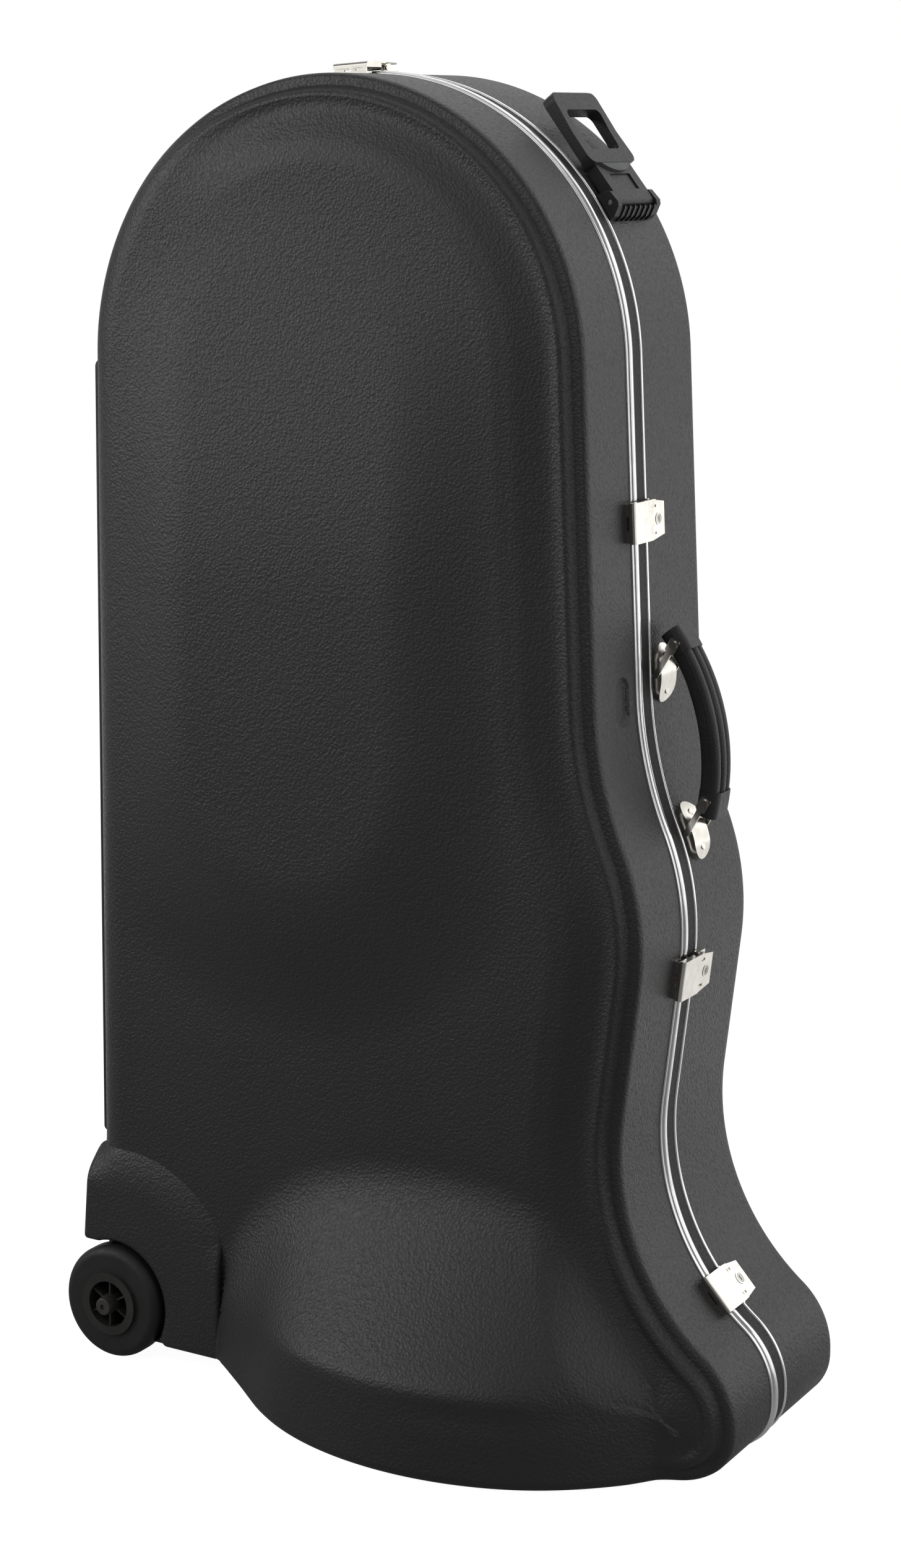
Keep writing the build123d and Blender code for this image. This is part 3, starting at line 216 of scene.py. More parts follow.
# The faces of a half
def bell_rise(x, z, depth, distance):
    """How far the bell bulge stands out of the front: an elliptical drum and the soft mound above it."""
    across = (x - BELL_X) / BELL_HALF_X
    drum = BELL_HALF_Y * np.sqrt(np.clip(1 - across * across, 0, 1))
    blend = DRUM_BLEND + (DRUM_END_BLEND - DRUM_BLEND) * smooth_step(-x, *DRUM_END)
    full = soft_positive(drum - depth, blend)
    width = np.where(x < BELL_X, MOUND_LEFT, MOUND_RIGHT)
    roundness = np.where(x < BELL_X, ROUND_LEFT, ROUND_RIGHT)
    crown = MOUND_HIGH * np.clip(1 - np.abs((x - BELL_X) / width) ** MOUND_POWER, 0, 1) ** roundness
    softer_left = CREASE_LEFT * smooth_step(-x, *CREASE_LEFT_RUN)
    softer_right = CREASE_RIGHT * smooth_step(x, *CREASE_RIGHT_RUN)
    crease = CREASE + softer_left + softer_right
    up = soft_positive(z - DRUM_TOP, crease) / np.maximum(crown, MOUND_LEAST)
    rise = full * np.clip(1 - up, 0, 1) ** MOUND_FALL
    beside_rim = 1 - smooth_step(distance, *VALLEY_WIDTH)
    rise *= 1 - beside_rim * smooth_step(z, *VALLEY_Z) * smooth_step(x, *VALLEY_X)
    eased = rise - MOUND_FOOT * (1 - np.exp(-rise / MOUND_FOOT))
    eased_full = full - MOUND_FOOT * (1 - np.exp(-full / MOUND_FOOT))
    return eased * full / eased_full


def front_depth(x, z, half, distance):
    """Depth of the front face before the rim takes anything off."""
    from_panel = np.hypot(x - PANEL_X, z - np.clip(z, PANEL_LOW, PANEL_HIGH))
    upper = smooth_step(z, *PANEL_FADE)
    foot_r = PANEL_FOOT_R + PANEL_WIDER * (1 - smooth_step(z, PANEL_WIDER_Z, PANEL_LOW))
    on_panel = 1 - smooth_step(from_panel, PANEL_TOP_R, foot_r)
    raised = (PANEL_DEPTH - half["depth"]) * on_panel * (1 - upper)
    depth = half["depth"] + raised + bell_rise(x, z, half["depth"], distance)
    from_pocket = np.hypot(x - WHEEL_X, z - WHEEL_Z) - POCKET_R
    pocket = smooth_step(from_pocket, *POCKET_WALL)
    return np.where(from_pocket < POCKET_WALL[1], POCKET_DEPTH + (depth - POCKET_DEPTH) * pocket, depth)


def rim_drop(distance, bead, radius, half):
    """How far the front lies back near the outline: a plain rounding, or the beaded rim of the lid."""
    if not half["beaded"]:
        radius = np.minimum(radius, half["edge"])
    inside = np.clip(radius - distance, 0, radius)
    plain = radius - np.sqrt(np.maximum(radius**2 - inside**2, 0))
    if not half["beaded"]:
        return plain
    marks = np.array(BEADED_RIM, float)
    return plain * (1 - bead) + np.interp(distance, marks[:, 0], marks[:, 1]) * bead


def floor_lift(x, depth, z):
    """How much higher the floor of the wheel end is: a step under the body, a slope under the drum."""
    low = np.clip(1 - (z - FLOOR_Z) / FLOOR_FADE, 0, 1)
    under_body = smooth_step(-x, -STEP_X - STEP_HALF, -STEP_X + STEP_HALF)
    under_drum = smooth_step(-x, *FLOOR_SLOPE)
    ahead = smooth_step(depth, *DRUM_AHEAD)
    return (WHEEL_END_Z - FLOOR_Z) * low * (under_body * (1 - ahead) + under_drum * ahead)


def lifted(points):
    """Points of x, depth and z, with the floor's step."""
    points = points.copy()
    points[..., 2] += floor_lift(points[..., 0], points[..., 1], points[..., 2])
    return points


def half_rings(half, step, inset, wall_rows, rim_rows, inner_rows, first_depth=None):
    """Rings of points over one half, from its open edge to the middle of the front, drawn in by inset."""
    edge, outward = case_outline(step)
    bead, radius = rim_kind(edge)
    reach = np.where(edge[:, 0] < REACH_HINGE_X, REACH_HINGE, REACH_LOW)
    reach = np.where(edge[:, 1] > REACH_HIGH_Z, REACH_HIGH, reach)
    for _ in range(int(REACH_SMOOTHING / step**2)):
        reach = (reach + np.roll(reach, 1) + np.roll(reach, -1)) / 3
    marks = np.concatenate([np.linspace(*run) for run in RIM_MARKS])
    if rim_rows < len(marks):
        marks = RIM_WIDTH * np.linspace(0, 1, rim_rows) ** 2
    steps = [(inset + (reach - inset) * mark / RIM_WIDTH) for mark in marks]
    rings = [edge - outward * s[:, None] for s in steps]
    last = rings[-1]
    spine = SPINE_HIGH - SPINE_LOW
    spine_step = spine / round(spine / (SPINE_STEP * step))
    goal_z = np.clip(last[:, 1], SPINE_LOW, SPINE_HIGH)
    goal_z = SPINE_LOW + np.round((goal_z - SPINE_LOW) / spine_step) * spine_step
    goal_x = np.interp(goal_z, [SPINE_LOW, SPINE_HIGH], [SPINE_LOW_X, SPINE_HIGH_X])
    goal = np.stack([goal_x, goal_z], 1)
    below = np.clip((DRUM_TOP - last[:, 1]) / (goal[:, 1] - last[:, 1] + WELD), *CREASE_SHARE)
    above = CREASE_SHARE[0] + CREASE_SHARE_ABOVE * smooth_step(last[:, 1], *CREASE_SHARE_Z)
    crease = np.where(last[:, 1] < DRUM_TOP, below, above)
    before = max(inner_rows // CREASE_ROWS, 2)
    for k in range(1, inner_rows + 1):
        share = k / before if k <= before else (k - before) / (inner_rows - before)
        t = crease * share if k <= before else crease + (1 - crease) * share
        rings.append(last + (goal - last) * t[:, None])
    front = []
    for number, ring in enumerate(rings):
        x, z = ring[:, 0], ring[:, 1]
        if number < len(steps):
            distance, ring_bead, ring_radius = steps[number], bead, radius
        else:
            distance, nearest = near_outline(x, z)
            ring_bead, ring_radius = outline_bead[nearest], outline_radius[nearest]
        drop = rim_drop(distance - inset, ring_bead, np.maximum(ring_radius - inset, LEAST_R), half)
        front.append(np.stack([x, front_depth(x, z, half, distance) - drop - inset, z], 1))
    start = half["start"] if first_depth is None else first_depth
    walls = []
    for k in range(wall_rows):
        depth = start + (front[0][:, 1] - start) * (k / wall_rows)
        walls.append(np.stack([rings[0][:, 0], depth, rings[0][:, 1]], 1))
    return np.array(walls + front)


# Making meshes
def mesh_object(name, vertices, faces, material):
    """A smooth-shaded mesh object from points in metres."""
    mesh = bpy.data.meshes.new(name)
    mesh.from_pydata([tuple(v) for v in vertices], [], [tuple(f) for f in faces])
    welded = bmesh.new()
    welded.from_mesh(mesh)
    bmesh.ops.remove_doubles(welded, verts=welded.verts, dist=WELD)
    bmesh.ops.dissolve_degenerate(welded, edges=welded.edges, dist=WELD)
    welded.to_mesh(mesh)
    welded.free()
    mesh.shade_smooth()
    mesh.set_sharp_from_angle(angle=math.radians(SMOOTH_ANGLE))
    made = bpy.data.objects.new(name, mesh)
    bpy.context.scene.collection.objects.link(made)
    mesh.materials.append(material)
    return made


def to_frame(points, facing):
    """From x, depth and z in millimetres to the shared frame."""
    return np.stack([(points[..., 0] + ARCH_X) * MM, facing * points[..., 1] * MM, points[..., 2] * MM], -1)


def ring_faces(rows, columns, flip, wrap_rows=False):
    """Quads between rows of points that run round. With wrap_rows the last row joins the first."""
    faces = []
    for row in range(rows if wrap_rows else rows - 1):
        after_row = (row + 1) % rows
        for column in range(columns):
            after = (column + 1) % columns
            quad = (
                row * columns + column,
                row * columns + after,
                after_row * columns + after,
                after_row * columns + column,
            )
            faces.append(quad[::-1] if flip else quad)
    return faces


def closed_half(name, half, rings, material):
    """A closed skin from rings that run from the middle of one face round the edge to the other's."""
    rows, columns = rings.shape[:2]
    faces = ring_faces(rows, columns, half["facing"] < 0)
    return mesh_object(name, to_frame(rings, half["facing"]).reshape(-1, 3), faces, material)


def shell_piece(half, material):
    """One half's moulded shell with its thickness and, on the lid, the dimple beside the carry handle."""
    outside = half_rings(half, SHELL_STEP, 0.0, half["wall_rows"], SHELL_RIM_ROWS, SHELL_INNER_ROWS)
    if half["beaded"]:
        x, depth, z = outside[..., 0], outside[..., 1], outside[..., 2]
        from_core = np.hypot(depth - DIMPLE_DEPTH, np.maximum(np.abs(z - DIMPLE_Z) - DIMPLE_HALF, 0))
        sunk = 1 - smooth_step(from_core, DIMPLE_R - DIMPLE_EDGE, DIMPLE_R + DIMPLE_EDGE / 2)
        outside[..., 0] -= DIMPLE_SUNK * sunk * (x > LATCH_SIDE_X)
    inside = half_rings(half, SHELL_STEP, WALL, *INSIDE_ROWS)
    rings = lifted(np.concatenate([inside[::-1], outside]))
    made = closed_half(half["name"] + "_shell_skin", half, rings, material)
    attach(made, half["body"])
    return made


def lining_piece(half, material):
    """The padded plush inside one half, with a rolled edge, in the space between the shell and the tuba."""
    middle, roll = (LINING_OUT + LINING_IN) / 2, (LINING_IN - LINING_OUT) / 2
    start = half["start"] + LINING_GAP
    edge, outward = case_outline(LINING_STEP)
    under = half_rings(half, LINING_STEP, LINING_OUT, *INSIDE_ROWS, start + roll)
    over = half_rings(half, LINING_STEP, LINING_IN, *LINING_ROWS, start + roll)
    turns = []
    for angle in np.linspace(0, math.pi, ROUND_POINTS)[1:-1]:
        ring = edge - outward * (middle - roll * math.cos(angle))
        depth = np.full(len(ring), start + roll * (1 - math.sin(angle)))
        turns.append(np.stack([ring[:, 0], depth, ring[:, 1]], 1))
    rings = lifted(np.concatenate([under[::-1], np.array(turns), over]))
    made = closed_half(half["name"] + "_plush_lining", half, rings, material)
    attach(made, half["body"])
    return made


def housing_piece(half, material):
    """The housing over a wheel: a soft-edged arc, an upright crease, the fender's lip and an arch."""
    arc_end = math.acos((HOUSING_END_X - HOUSING_X) / HOUSING_R)
    arc_start = math.radians(HOUSING_TURN)
    arc = [
        (HOUSING_X + HOUSING_R * math.cos(a), HOUSING_Z + HOUSING_R * math.sin(a))
        for a in np.linspace(arc_start, arc_end, HOUSING_POINTS)
    ]
    low = math.asin((WHEEL_END_Z - WHEEL_Z) / POCKET_R)
    high = math.asin((FENDER_LOW_Z - WHEEL_Z) / POCKET_R)
    arch = [
        (WHEEL_X + POCKET_R * math.cos(a), WHEEL_Z + POCKET_R * math.sin(a))
        for a in np.linspace(low + POCKET_FOOT_TURN, math.pi - high - POCKET_LIP_TURN, POCKET_POINTS)
    ]
    end = (HOUSING_END_X, WHEEL_END_Z, HOUSING_END_R)
    foot = (WHEEL_X + POCKET_R * math.cos(low), WHEEL_END_Z, HOUSING_FOOT_R)
    lip = (WHEEL_X - POCKET_R * math.cos(high), FENDER_LOW_Z, HOUSING_LIP_R)
    fender_low = (FENDER_X, FENDER_LOW_Z, FENDER_LOW_R)
    fender_high = (-ARCH_R, FENDER_HIGH_Z, FENDER_HIGH_R)
    right = rounded_line([arc[-1], end, foot, arch[0]])
    left = rounded_line([arch[-1], lip, fender_low, fender_high, arc[0]])
    edge, away = even_points(arc + right[1:] + arch[1:] + left[1:], HOUSING_STEP)
    from_middle = np.hypot(edge[:, 0] - HOUSING_X, edge[:, 1] - HOUSING_Z)
    soft = (from_middle > HOUSING_R - HOUSING_SOFT_NEAR) & (edge[:, 0] > HOUSING_SOFT_X)
    count = len(edge)
    flat = [edge - away * s for s in HOUSING_RINGS]
    ahead = np.roll(edge, -1, 0)
    side = ahead - edge
    grid = []
    for gx in np.arange(FENDER_X, HOUSING_END_X, HOUSING_GRID):
        for gz in np.arange(WHEEL_END_Z, FENDER_HIGH_Z, HOUSING_GRID):
            crossed = (edge[:, 1] > gz) != (ahead[:, 1] > gz)
            with np.errstate(divide="ignore", invalid="ignore"):
                meet = edge[:, 0] + (gz - edge[:, 1]) / side[:, 1] * side[:, 0]
            inside = np.count_nonzero(crossed & (meet > gx)) % 2 == 1
            if inside and np.hypot(edge[:, 0] - gx, edge[:, 1] - gz).min() > HOUSING_GRID_CLEAR:
                grid.append((gx, gz))
    points = np.concatenate(flat + [np.array(grid)])
    border = [(k, (k + 1) % count) for k in range(count)]
    made_points, _, faces, *_ = delaunay_2d_cdt([Vector(p) for p in points], border, [], 1, TOUCH)
    points = np.array([tuple(p) for p in made_points])
    x, z = points[:, 0], points[:, 1]
    gaps = np.hypot(x[:, None] - edge[None, :, 0], z[:, None] - edge[None, :, 1])
    to_soft = gaps[:, soft].min(1)
    to_crisp = np.clip(HOUSING_EDGE - gaps[:, ~soft].min(1), 0, HOUSING_EDGE)
    distance, nearest = near_outline(x, z)
    slab = half["depth"] - rim_drop(distance, 0 * distance, outline_radius[nearest], half)
    weight = 1 - np.clip(1 - to_soft / HOUSING_SOFT, 0, 1) ** 2
    depth = slab + (HOUSING_DEPTH - slab) * weight
    depth -= HOUSING_EDGE - np.sqrt(np.maximum(HOUSING_EDGE**2 - to_crisp**2, 0))
    top = np.stack([x, depth, z], 1)
    rim = [k for k in range(len(points)) if gaps[k].min() < SAME_POINT]
    rim = sorted(rim, key=lambda k: int(gaps[k].argmin()))
    base_depth = np.full(len(rim), HOUSING_BACK)
    base = np.stack([x[rim], base_depth, z[rim]], 1)
    vertices = to_frame(np.concatenate([top, base]), half["facing"])
    flip = half["facing"] < 0
    faces = [tuple(f) if not flip else tuple(f)[::-1] for f in faces]
    total = len(rim)
    for k in range(total):
        after = (k + 1) % total
        quad = (rim[k], rim[after], len(points) + after, len(points) + k)
        faces.append(quad if not flip else quad[::-1])
    bottom = tuple(len(points) + k for k in range(total))
    faces.append(bottom if not flip else bottom[::-1])
    made = mesh_object(half["name"] + "_wheel_housing", vertices, faces, material)
    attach(made, half["body"])
    return made


def bead(near, far, height):
    """Points over a half-round bead between two depths."""
    middle, half_width = (near + far) / 2, (far - near) / 2
    turns = np.linspace(0, math.pi, ROUND_POINTS)
    return [(middle + half_width * math.cos(a), height * math.sin(a)) for a in turns]


def edge_strip(name, body, facing, profile, material):
    """A metal strip of one cross section all round the parting line. The profile is (depth, out)."""
    edge, outward = case_outline(STRIP_STEP)
    rings = []
    for depth, out in profile:
        ring = edge + outward * out
        rings.append(np.stack([ring[:, 0], np.full(len(ring), depth), ring[:, 1]], 1))
    rings = lifted(np.array(rings))
    faces = ring_faces(len(rings), len(edge), facing > 0, True)
    made = mesh_object(name, to_frame(rings, facing).reshape(-1, 3), faces, material)
    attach(made, body)
    return made


# Materials
def new_material(name, color, metallic=0.0, roughness=0.5):
    """A principled material and its node tree and shader."""
    made = bpy.data.materials.new(name)
    made.use_nodes = True
    shader = made.node_tree.nodes["Principled BSDF"]
    shader.inputs["Base Color"].default_value = (*color, 1)
    shader.inputs["Metallic"].default_value = metallic
    shader.inputs["Roughness"].default_value = roughness
    return made, made.node_tree, shader


def add_node(tree, kind, **inputs):
    """A node with some of its inputs set by name."""
    made = tree.nodes.new(kind)
    for key, value in inputs.items():
        made.inputs[key.replace("_", " ")].default_value = value
    return made


def varied(tree, source, target, low, high, low_at=0.3, high_at=0.7):
    """Lets a pattern move a number or a colour between two values."""
    ramp = tree.nodes.new("ShaderNodeValToRGB")
    for stop, value, place in zip(ramp.color_ramp.elements, (low, high), (low_at, high_at)):
        stop.position = place
        stop.color = (*value, 1) if isinstance(value, tuple) else (value, value, value, 1)
    tree.links.new(source, ramp.inputs["Fac"])
    tree.links.new(ramp.outputs["Color"], target)


# The grain: how far its cells wander, how soft they are and where on a cell the gloss changes
WANDER_SCALE, WANDER_REACH, CELL_SOFT, GRAIN_STRENGTH, CELL_GLOSS = 0.8, 1.2, 0.5, 0.8, (0.1, 0.8)
# Worn metal: how fine its patches and its hairlines are, counted per metre
METAL_PATCHES, HAIRLINES, HAIRLINE_STRENGTH = 90.0, (900.0, 60.0, 900.0), 0.25
# Plush: its patches and nap counted per metre, the nap's depth in metres, and its sheen
PLUSH_PATCHES, NAP, NAP_DEPTH, NAP_STRENGTH, PLUSH_ROUGH = 14.0, 700.0, 0.0008, 0.9, 0.95
SHEEN, SHEEN_ROUGH = 0.6, 0.5


def moulded(name, dark, light, grain, rough, patch=0.12, gloss=0.3):
    """Moulded plastic or rubber with a pressed grain, and a slow change of shade and gloss."""
    cell, depth = grain
    made, tree, shader = new_material(name, dark)
    link = tree.links.new
    place = tree.nodes.new("ShaderNodeTexCoord").outputs["Object"]
    slow = add_node(tree, "ShaderNodeTexNoise", Scale=1 / patch, Detail=3.0)
    wander = add_node(tree, "ShaderNodeTexNoise", Scale=WANDER_SCALE / cell, Detail=1.0)
    shift = tree.nodes.new("ShaderNodeVectorMath")
    shift.operation = "SCALE"
    shift.inputs["Scale"].default_value = cell * WANDER_REACH
    add = tree.nodes.new("ShaderNodeVectorMath")
    cells = add_node(tree, "ShaderNodeTexVoronoi", Scale=1 / cell)
    cells.feature = "SMOOTH_F1"
    cells.inputs["Smoothness"].default_value = CELL_SOFT
    bump = add_node(tree, "ShaderNodeBump", Strength=GRAIN_STRENGTH, Distance=depth)
    bump.invert = True
    shader.inputs["Specular IOR Level"].default_value = gloss
    link(place, slow.inputs["Vector"])
    link(place, wander.inputs["Vector"])
    link(wander.outputs["Color"], shift.inputs[0])
    link(place, add.inputs[0])
    link(shift.outputs["Vector"], add.inputs[1])
    link(add.outputs["Vector"], cells.inputs["Vector"])
    link(cells.outputs["Distance"], bump.inputs["Height"])
    link(bump.outputs["Normal"], shader.inputs["Normal"])
    varied(tree, slow.outputs["Fac"], shader.inputs["Base Color"], dark, light)
    varied(tree, cells.outputs["Distance"], shader.inputs["Roughness"], *rough, *CELL_GLOSS)
    return made


def polished(name, color, shade, rough, scratch):
    """Bright metal with faint wear: uneven gloss, and hairlines."""
    made, tree, shader = new_material(name, color, 1.0)
    link = tree.links.new
    place = tree.nodes.new("ShaderNodeTexCoord").outputs["Object"]
    slow = add_node(tree, "ShaderNodeTexNoise", Scale=METAL_PATCHES, Detail=4.0)
    stretch = add_node(tree, "ShaderNodeMapping", Scale=HAIRLINES)
    lines = add_node(tree, "ShaderNodeTexNoise", Scale=1.0, Detail=2.0)
    bump = add_node(tree, "ShaderNodeBump", Strength=HAIRLINE_STRENGTH, Distance=scratch)
    link(place, slow.inputs["Vector"])
    link(place, stretch.inputs["Vector"])
    link(stretch.outputs["Vector"], lines.inputs["Vector"])
    link(lines.outputs["Fac"], bump.inputs["Height"])
    link(bump.outputs["Normal"], shader.inputs["Normal"])
    varied(tree, slow.outputs["Fac"], shader.inputs["Base Color"], color, shade)
    varied(tree, slow.outputs["Fac"], shader.inputs["Roughness"], *rough)
    return made


def plush(name, dark, light):
    """Short pile: a fine nap, slow patches where it lies another way, and a soft sheen."""
    made, tree, shader = new_material(name, dark, 0.0, PLUSH_ROUGH)
    link = tree.links.new
    place = tree.nodes.new("ShaderNodeTexCoord").outputs["Object"]
    slow = add_node(tree, "ShaderNodeTexNoise", Scale=PLUSH_PATCHES, Detail=3.0)
    nap = add_node(tree, "ShaderNodeTexNoise", Scale=NAP, Detail=3.0)
    bump = add_node(tree, "ShaderNodeBump", Strength=NAP_STRENGTH, Distance=NAP_DEPTH)
    link(place, slow.inputs["Vector"])
    link(place, nap.inputs["Vector"])
    link(nap.outputs["Fac"], bump.inputs["Height"])
    link(bump.outputs["Normal"], shader.inputs["Normal"])
    varied(tree, slow.outputs["Fac"], shader.inputs["Base Color"], dark, light)
    shader.inputs["Sheen Weight"].default_value = SHEEN
    shader.inputs["Sheen Roughness"].default_value = SHEEN_ROUGH
    return made


def grey(level):
    """A neutral colour."""
    return (level, level, level)


# Each moulded finish has its darkest and lightest shade, the size and depth of its grain in metres, its
# least and most roughness, the size of its patches in metres and its gloss
finishes = {
    "shell": moulded(
        "case_shell_black", (0.0135, 0.0138, 0.0135), (0.017, 0.017, 0.0172),
        (0.0024, 0.0006), (0.38, 0.56), patch=0.12, gloss=0.42,
    ),
    "lining": plush("lining_plush", (0.018, 0.018, 0.020), (0.034, 0.034, 0.037)),
    "edge_metal": polished("edge_aluminium", grey(0.72), grey(0.62), (0.14, 0.24), 0.00001),
    "seal": moulded("seal_black", grey(0.010), grey(0.016), (0.0016, 0.0001), (0.5, 0.7)),
    "runner": moulded("runner_black", grey(0.014), grey(0.022), (0.0018, 0.0002), (0.4, 0.6)),
    "foot_rubber": moulded("foot_rubber", grey(0.012), grey(0.02), (0.0012, 0.0001), (0.7, 0.9)),
    "tyre": moulded(
        "tyre_rubber", (0.010, 0.010, 0.011), (0.016, 0.016, 0.017),
        (0.0022, 0.0001), (0.45, 0.65), patch=0.03,
    ),
    "hub": moulded(
        "hub_plastic", (0.016, 0.016, 0.015), (0.028, 0.027, 0.025),
        (0.0015, 0.0001), (0.35, 0.55), patch=0.02,
    ),
    "axle": polished("axle_steel", (0.42, 0.41, 0.40), (0.30, 0.29, 0.28), (0.25, 0.45), 0.00005),
    "axle_cap": moulded(
        "axle_cap_plastic", (0.030, 0.027, 0.024), (0.050, 0.046, 0.04),
        (0.0015, 0.0001), (0.3, 0.5), patch=0.01,
    ),
    "grip": moulded("grip_black", grey(0.012), grey(0.02), (0.0016, 0.00025), (0.32, 0.5), patch=0.05),
    "pull_handle": moulded(
        "pull_handle_black", grey(0.013), grey(0.02), (0.0014, 0.0002), (0.35, 0.55), patch=0.05
    ),
    "bumper": moulded(
        "bumper_frosted", (0.055, 0.057, 0.060), (0.080, 0.082, 0.085),
        (0.0014, 0.0001), (0.4, 0.55), patch=0.02,
    ),
    "nickel": polished("nickel_plate", (0.64, 0.62, 0.57), (0.55, 0.53, 0.48), (0.14, 0.26), 0.00003),
    "lock": polished("lock_steel", (0.40, 0.39, 0.37), (0.28, 0.27, 0.25), (0.2, 0.4), 0.00004),
}
for part in frame["record"]["subparts"]:
    node = nodes[part["node"]]
    node.data.materials.clear()
    node.data.materials.append(finishes[part["material_slot"]])

# The case
for half in (LID, BACK):
    skin = shell_piece(half, finishes["shell"])
    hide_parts(half["name"] + "_shell")
    housing_piece(half, finishes["shell"])
    pad = lining_piece(half, finishes["lining"])
    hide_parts(half["name"] + "_lining")
metal = finishes["edge_metal"]
groove = [(GROOVE_FAR, GROOVE), (GROOVE_NEAR, GROOVE)]
lid_profile = [(LID["start"], -WALL), *bead(*THIN_BEAD), *groove, *bead(*MAIN_BEAD), (EDGE_NEAR, -WALL)]
lid_strip = edge_strip("lid_edge_strip", "lid", -1, lid_profile, metal)
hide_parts("lid_trim")
back_profile = [(BACK["start"], -WALL), *bead(*BACK_BEAD), (BACK_NEAR, -WALL)]
back_strip = edge_strip("back_edge_strip", "base", 1, back_profile, metal)
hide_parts("back_trim")

# Floor, light and camera
def ray_kinds(tree):
    """1 for what the camera sees, and 1 for what metal, gloss and glass show."""
    path = tree.nodes.new("ShaderNodeLightPath")
    mirrored = tree.nodes.new("ShaderNodeMath")
    mirrored.operation = "MAXIMUM"
    tree.links.new(path.outputs["Is Glossy Ray"], mirrored.inputs[0])
    tree.links.new(path.outputs["Is Transmission Ray"], mirrored.inputs[1])
    return path.outputs["Is Camera Ray"], mirrored.outputs[0]


def math_node(tree, operation, first, second):
    """One sum on two values or outputs."""
    made = tree.nodes.new("ShaderNodeMath")
    made.operation = operation
    for socket, value in zip(made.inputs, (first, second)):
        if isinstance(value, (int, float)):
            socket.default_value = value
        else:
            tree.links.new(value, socket)
    return made.outputs[0]


def fade(tree, source, low, high, from_value, to_value):
    """A soft change from one value to another while the source goes from low to high."""
    made = tree.nodes.new("ShaderNodeMapRange")
    made.interpolation_type = "SMOOTHSTEP"
    ends = {"From Min": low, "From Max": high, "To Min": from_value, "To Max": to_value}
    for name, value in ends.items():
        made.inputs[name].default_value = value
    tree.links.new(source, made.inputs["Value"])
    return made.outputs["Result"]


# The floor and backdrop are white to the camera. Behind the case gloss shows them white too, a little
# dimmer at the horizon, and in front of it the studio is dim, most of all the floor. Only a faint share of
# the backdrop is felt as light.
FLOOR_WHITE, DIM_FLOOR, DIM_FRONT, DIM_HORIZON, FELT = 0.96, 0.04, 0.2, 0.5, 0.22
FLOOR_GREY, FLOOR_ROUGH = 0.25, 0.9
FLOOR_HALF, FLOOR_SIDES = 8.0, ((-1, -1), (1, -1), (1, 1), (-1, 1))
FLOOR_FROM_FRONT, SKY_FROM_FRONT, SKY_FROM_HORIZON = (-0.3, 0.8), (0.0, 0.65), (0.0, 0.35)
# Each lamp's place, the height that it faces on the case, its width and height in metres, and its watts
LAMPS = {
    "front_right": ((3.2, -0.9, 1.5), 0.6, 2.4, 2.8, 22),
    "key_right": ((2.6, 1.9, 1.7), 0.6, 4.2, 3.4, 48),
    "front_high": ((-0.8, -2.1, 1.7), 0.95, 3.0, 2.0, 22),
    "left_strip": ((-2.5, -1.7, 1.6), 0.9, 1.1, 2.2, 34),
    "top_soft": ((0.2, 0.4, 3.2), 0.6, 3.0, 2.6, 20),
}
# The camera, from the photograph: tilt below level and turn in degrees, lens and sensor in millimetres
CAMERA_PLACE, CAMERA_TILT, CAMERA_TURN = (1.3200, -2.2250, 1.0960), 5.96, 30.52
LENS, SENSOR, SHIFT_Y, CLIP_END = 70.2, 36, -0.22, 50

floor_material, floor_tree, floor_shader = new_material("floor_white", grey(FLOOR_GREY), 0.0, FLOOR_ROUGH)
seen, mirrored = ray_kinds(floor_tree)
floor_place = floor_tree.nodes.new("ShaderNodeTexCoord")
floor_axes = floor_tree.nodes.new("ShaderNodeSeparateXYZ")
floor_tree.links.new(floor_place.outputs["Object"], floor_axes.inputs["Vector"])
floor_shown = fade(floor_tree, floor_axes.outputs["Y"], *FLOOR_FROM_FRONT, DIM_FLOOR, FLOOR_WHITE)
floor_glow = math_node(
    floor_tree,
    "ADD",
    math_node(floor_tree, "MULTIPLY", seen, FLOOR_WHITE),
    math_node(floor_tree, "MULTIPLY", mirrored, floor_shown),
)
floor_shader.inputs["Emission Color"].default_value = (1, 1, 1, 1)
floor_shader.inputs["Specular IOR Level"].default_value = 0.0
floor_tree.links.new(floor_glow, floor_shader.inputs["Emission Strength"])
floor_corners = [(FLOOR_HALF * side_x, FLOOR_HALF * side_y, 0) for side_x, side_y in FLOOR_SIDES]
floor = mesh_object("studio_floor", floor_corners, [(0, 1, 2, 3)], floor_material)


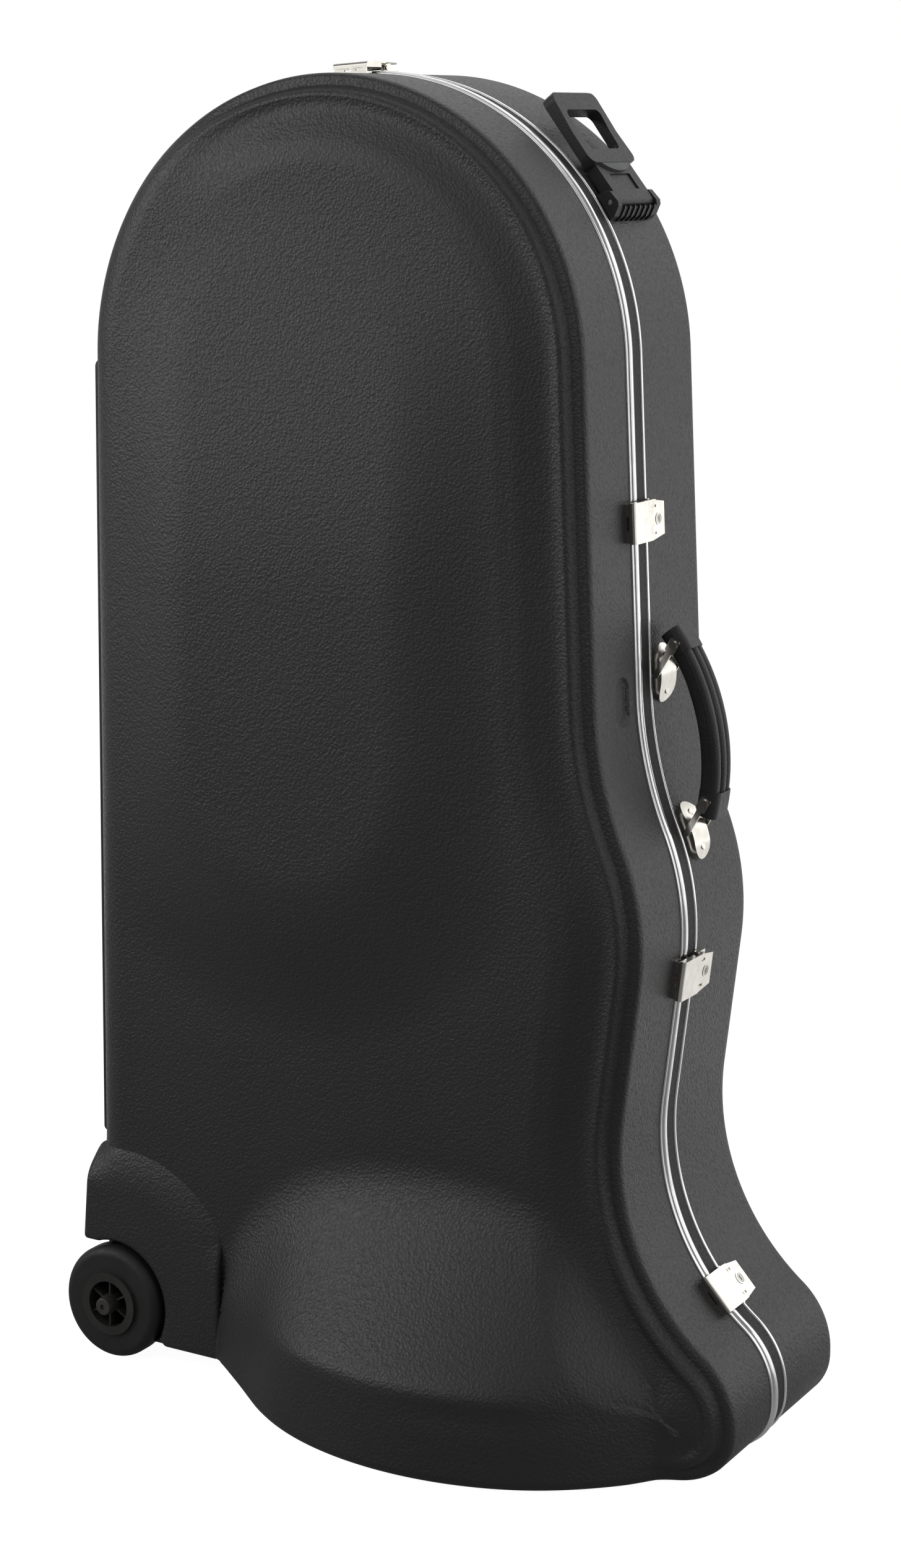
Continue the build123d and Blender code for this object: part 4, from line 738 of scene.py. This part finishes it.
def area_light(name, place, aim, width, height, power):
    """A soft box that faces a point."""
    data = bpy.data.lights.new(name, "AREA")
    data.shape = "RECTANGLE"
    data.size, data.size_y, data.energy = width, height, power
    made = bpy.data.objects.new(name, data)
    bpy.context.scene.collection.objects.link(made)
    made.location = place
    made.rotation_euler = (Vector(aim) - Vector(place)).to_track_quat("-Z", "Y").to_euler()
    return made


for name, (place, aim_z, width, height, power) in LAMPS.items():
    area_light(name, place, (0, 0, aim_z), width, height, power)

world = bpy.data.worlds.new("studio")
bpy.context.scene.world = world
world.use_nodes = True
tree = world.node_tree
tree.nodes.clear()
direction = tree.nodes.new("ShaderNodeTexCoord")
axes = tree.nodes.new("ShaderNodeSeparateXYZ")
tree.links.new(direction.outputs["Generated"], axes.inputs["Vector"])
from_front = fade(tree, axes.outputs["Y"], *SKY_FROM_FRONT, DIM_FRONT, 1.0)
from_horizon = fade(tree, axes.outputs["Z"], *SKY_FROM_HORIZON, DIM_HORIZON, 1.0)
shown = math_node(tree, "MULTIPLY", from_front, from_horizon)
seen, mirrored = ray_kinds(tree)
background = add_node(tree, "ShaderNodeBackground", Color=(1, 1, 1, 1))
felt = math_node(tree, "SUBTRACT", 1.0, math_node(tree, "ADD", seen, mirrored))
strength = math_node(tree, "ADD", seen, math_node(tree, "MULTIPLY", mirrored, shown))
strength = math_node(tree, "ADD", strength, math_node(tree, "MULTIPLY", felt, FELT))
output = tree.nodes.new("ShaderNodeOutputWorld")
tree.links.new(strength, background.inputs["Strength"])
tree.links.new(background.outputs[0], output.inputs["Surface"])

camera_data = bpy.data.cameras.new("camera")
camera = bpy.data.objects.new("camera", camera_data)
bpy.context.scene.collection.objects.link(camera)
camera_data.lens = LENS
camera_data.sensor_width = SENSOR
camera_data.shift_y = SHIFT_Y
camera_data.clip_end = CLIP_END
camera.location = CAMERA_PLACE
camera.rotation_euler = (math.radians(90 - CAMERA_TILT), 0, math.radians(CAMERA_TURN))
bpy.context.scene.camera = camera
bpy.context.scene.view_settings.view_transform = "Standard"
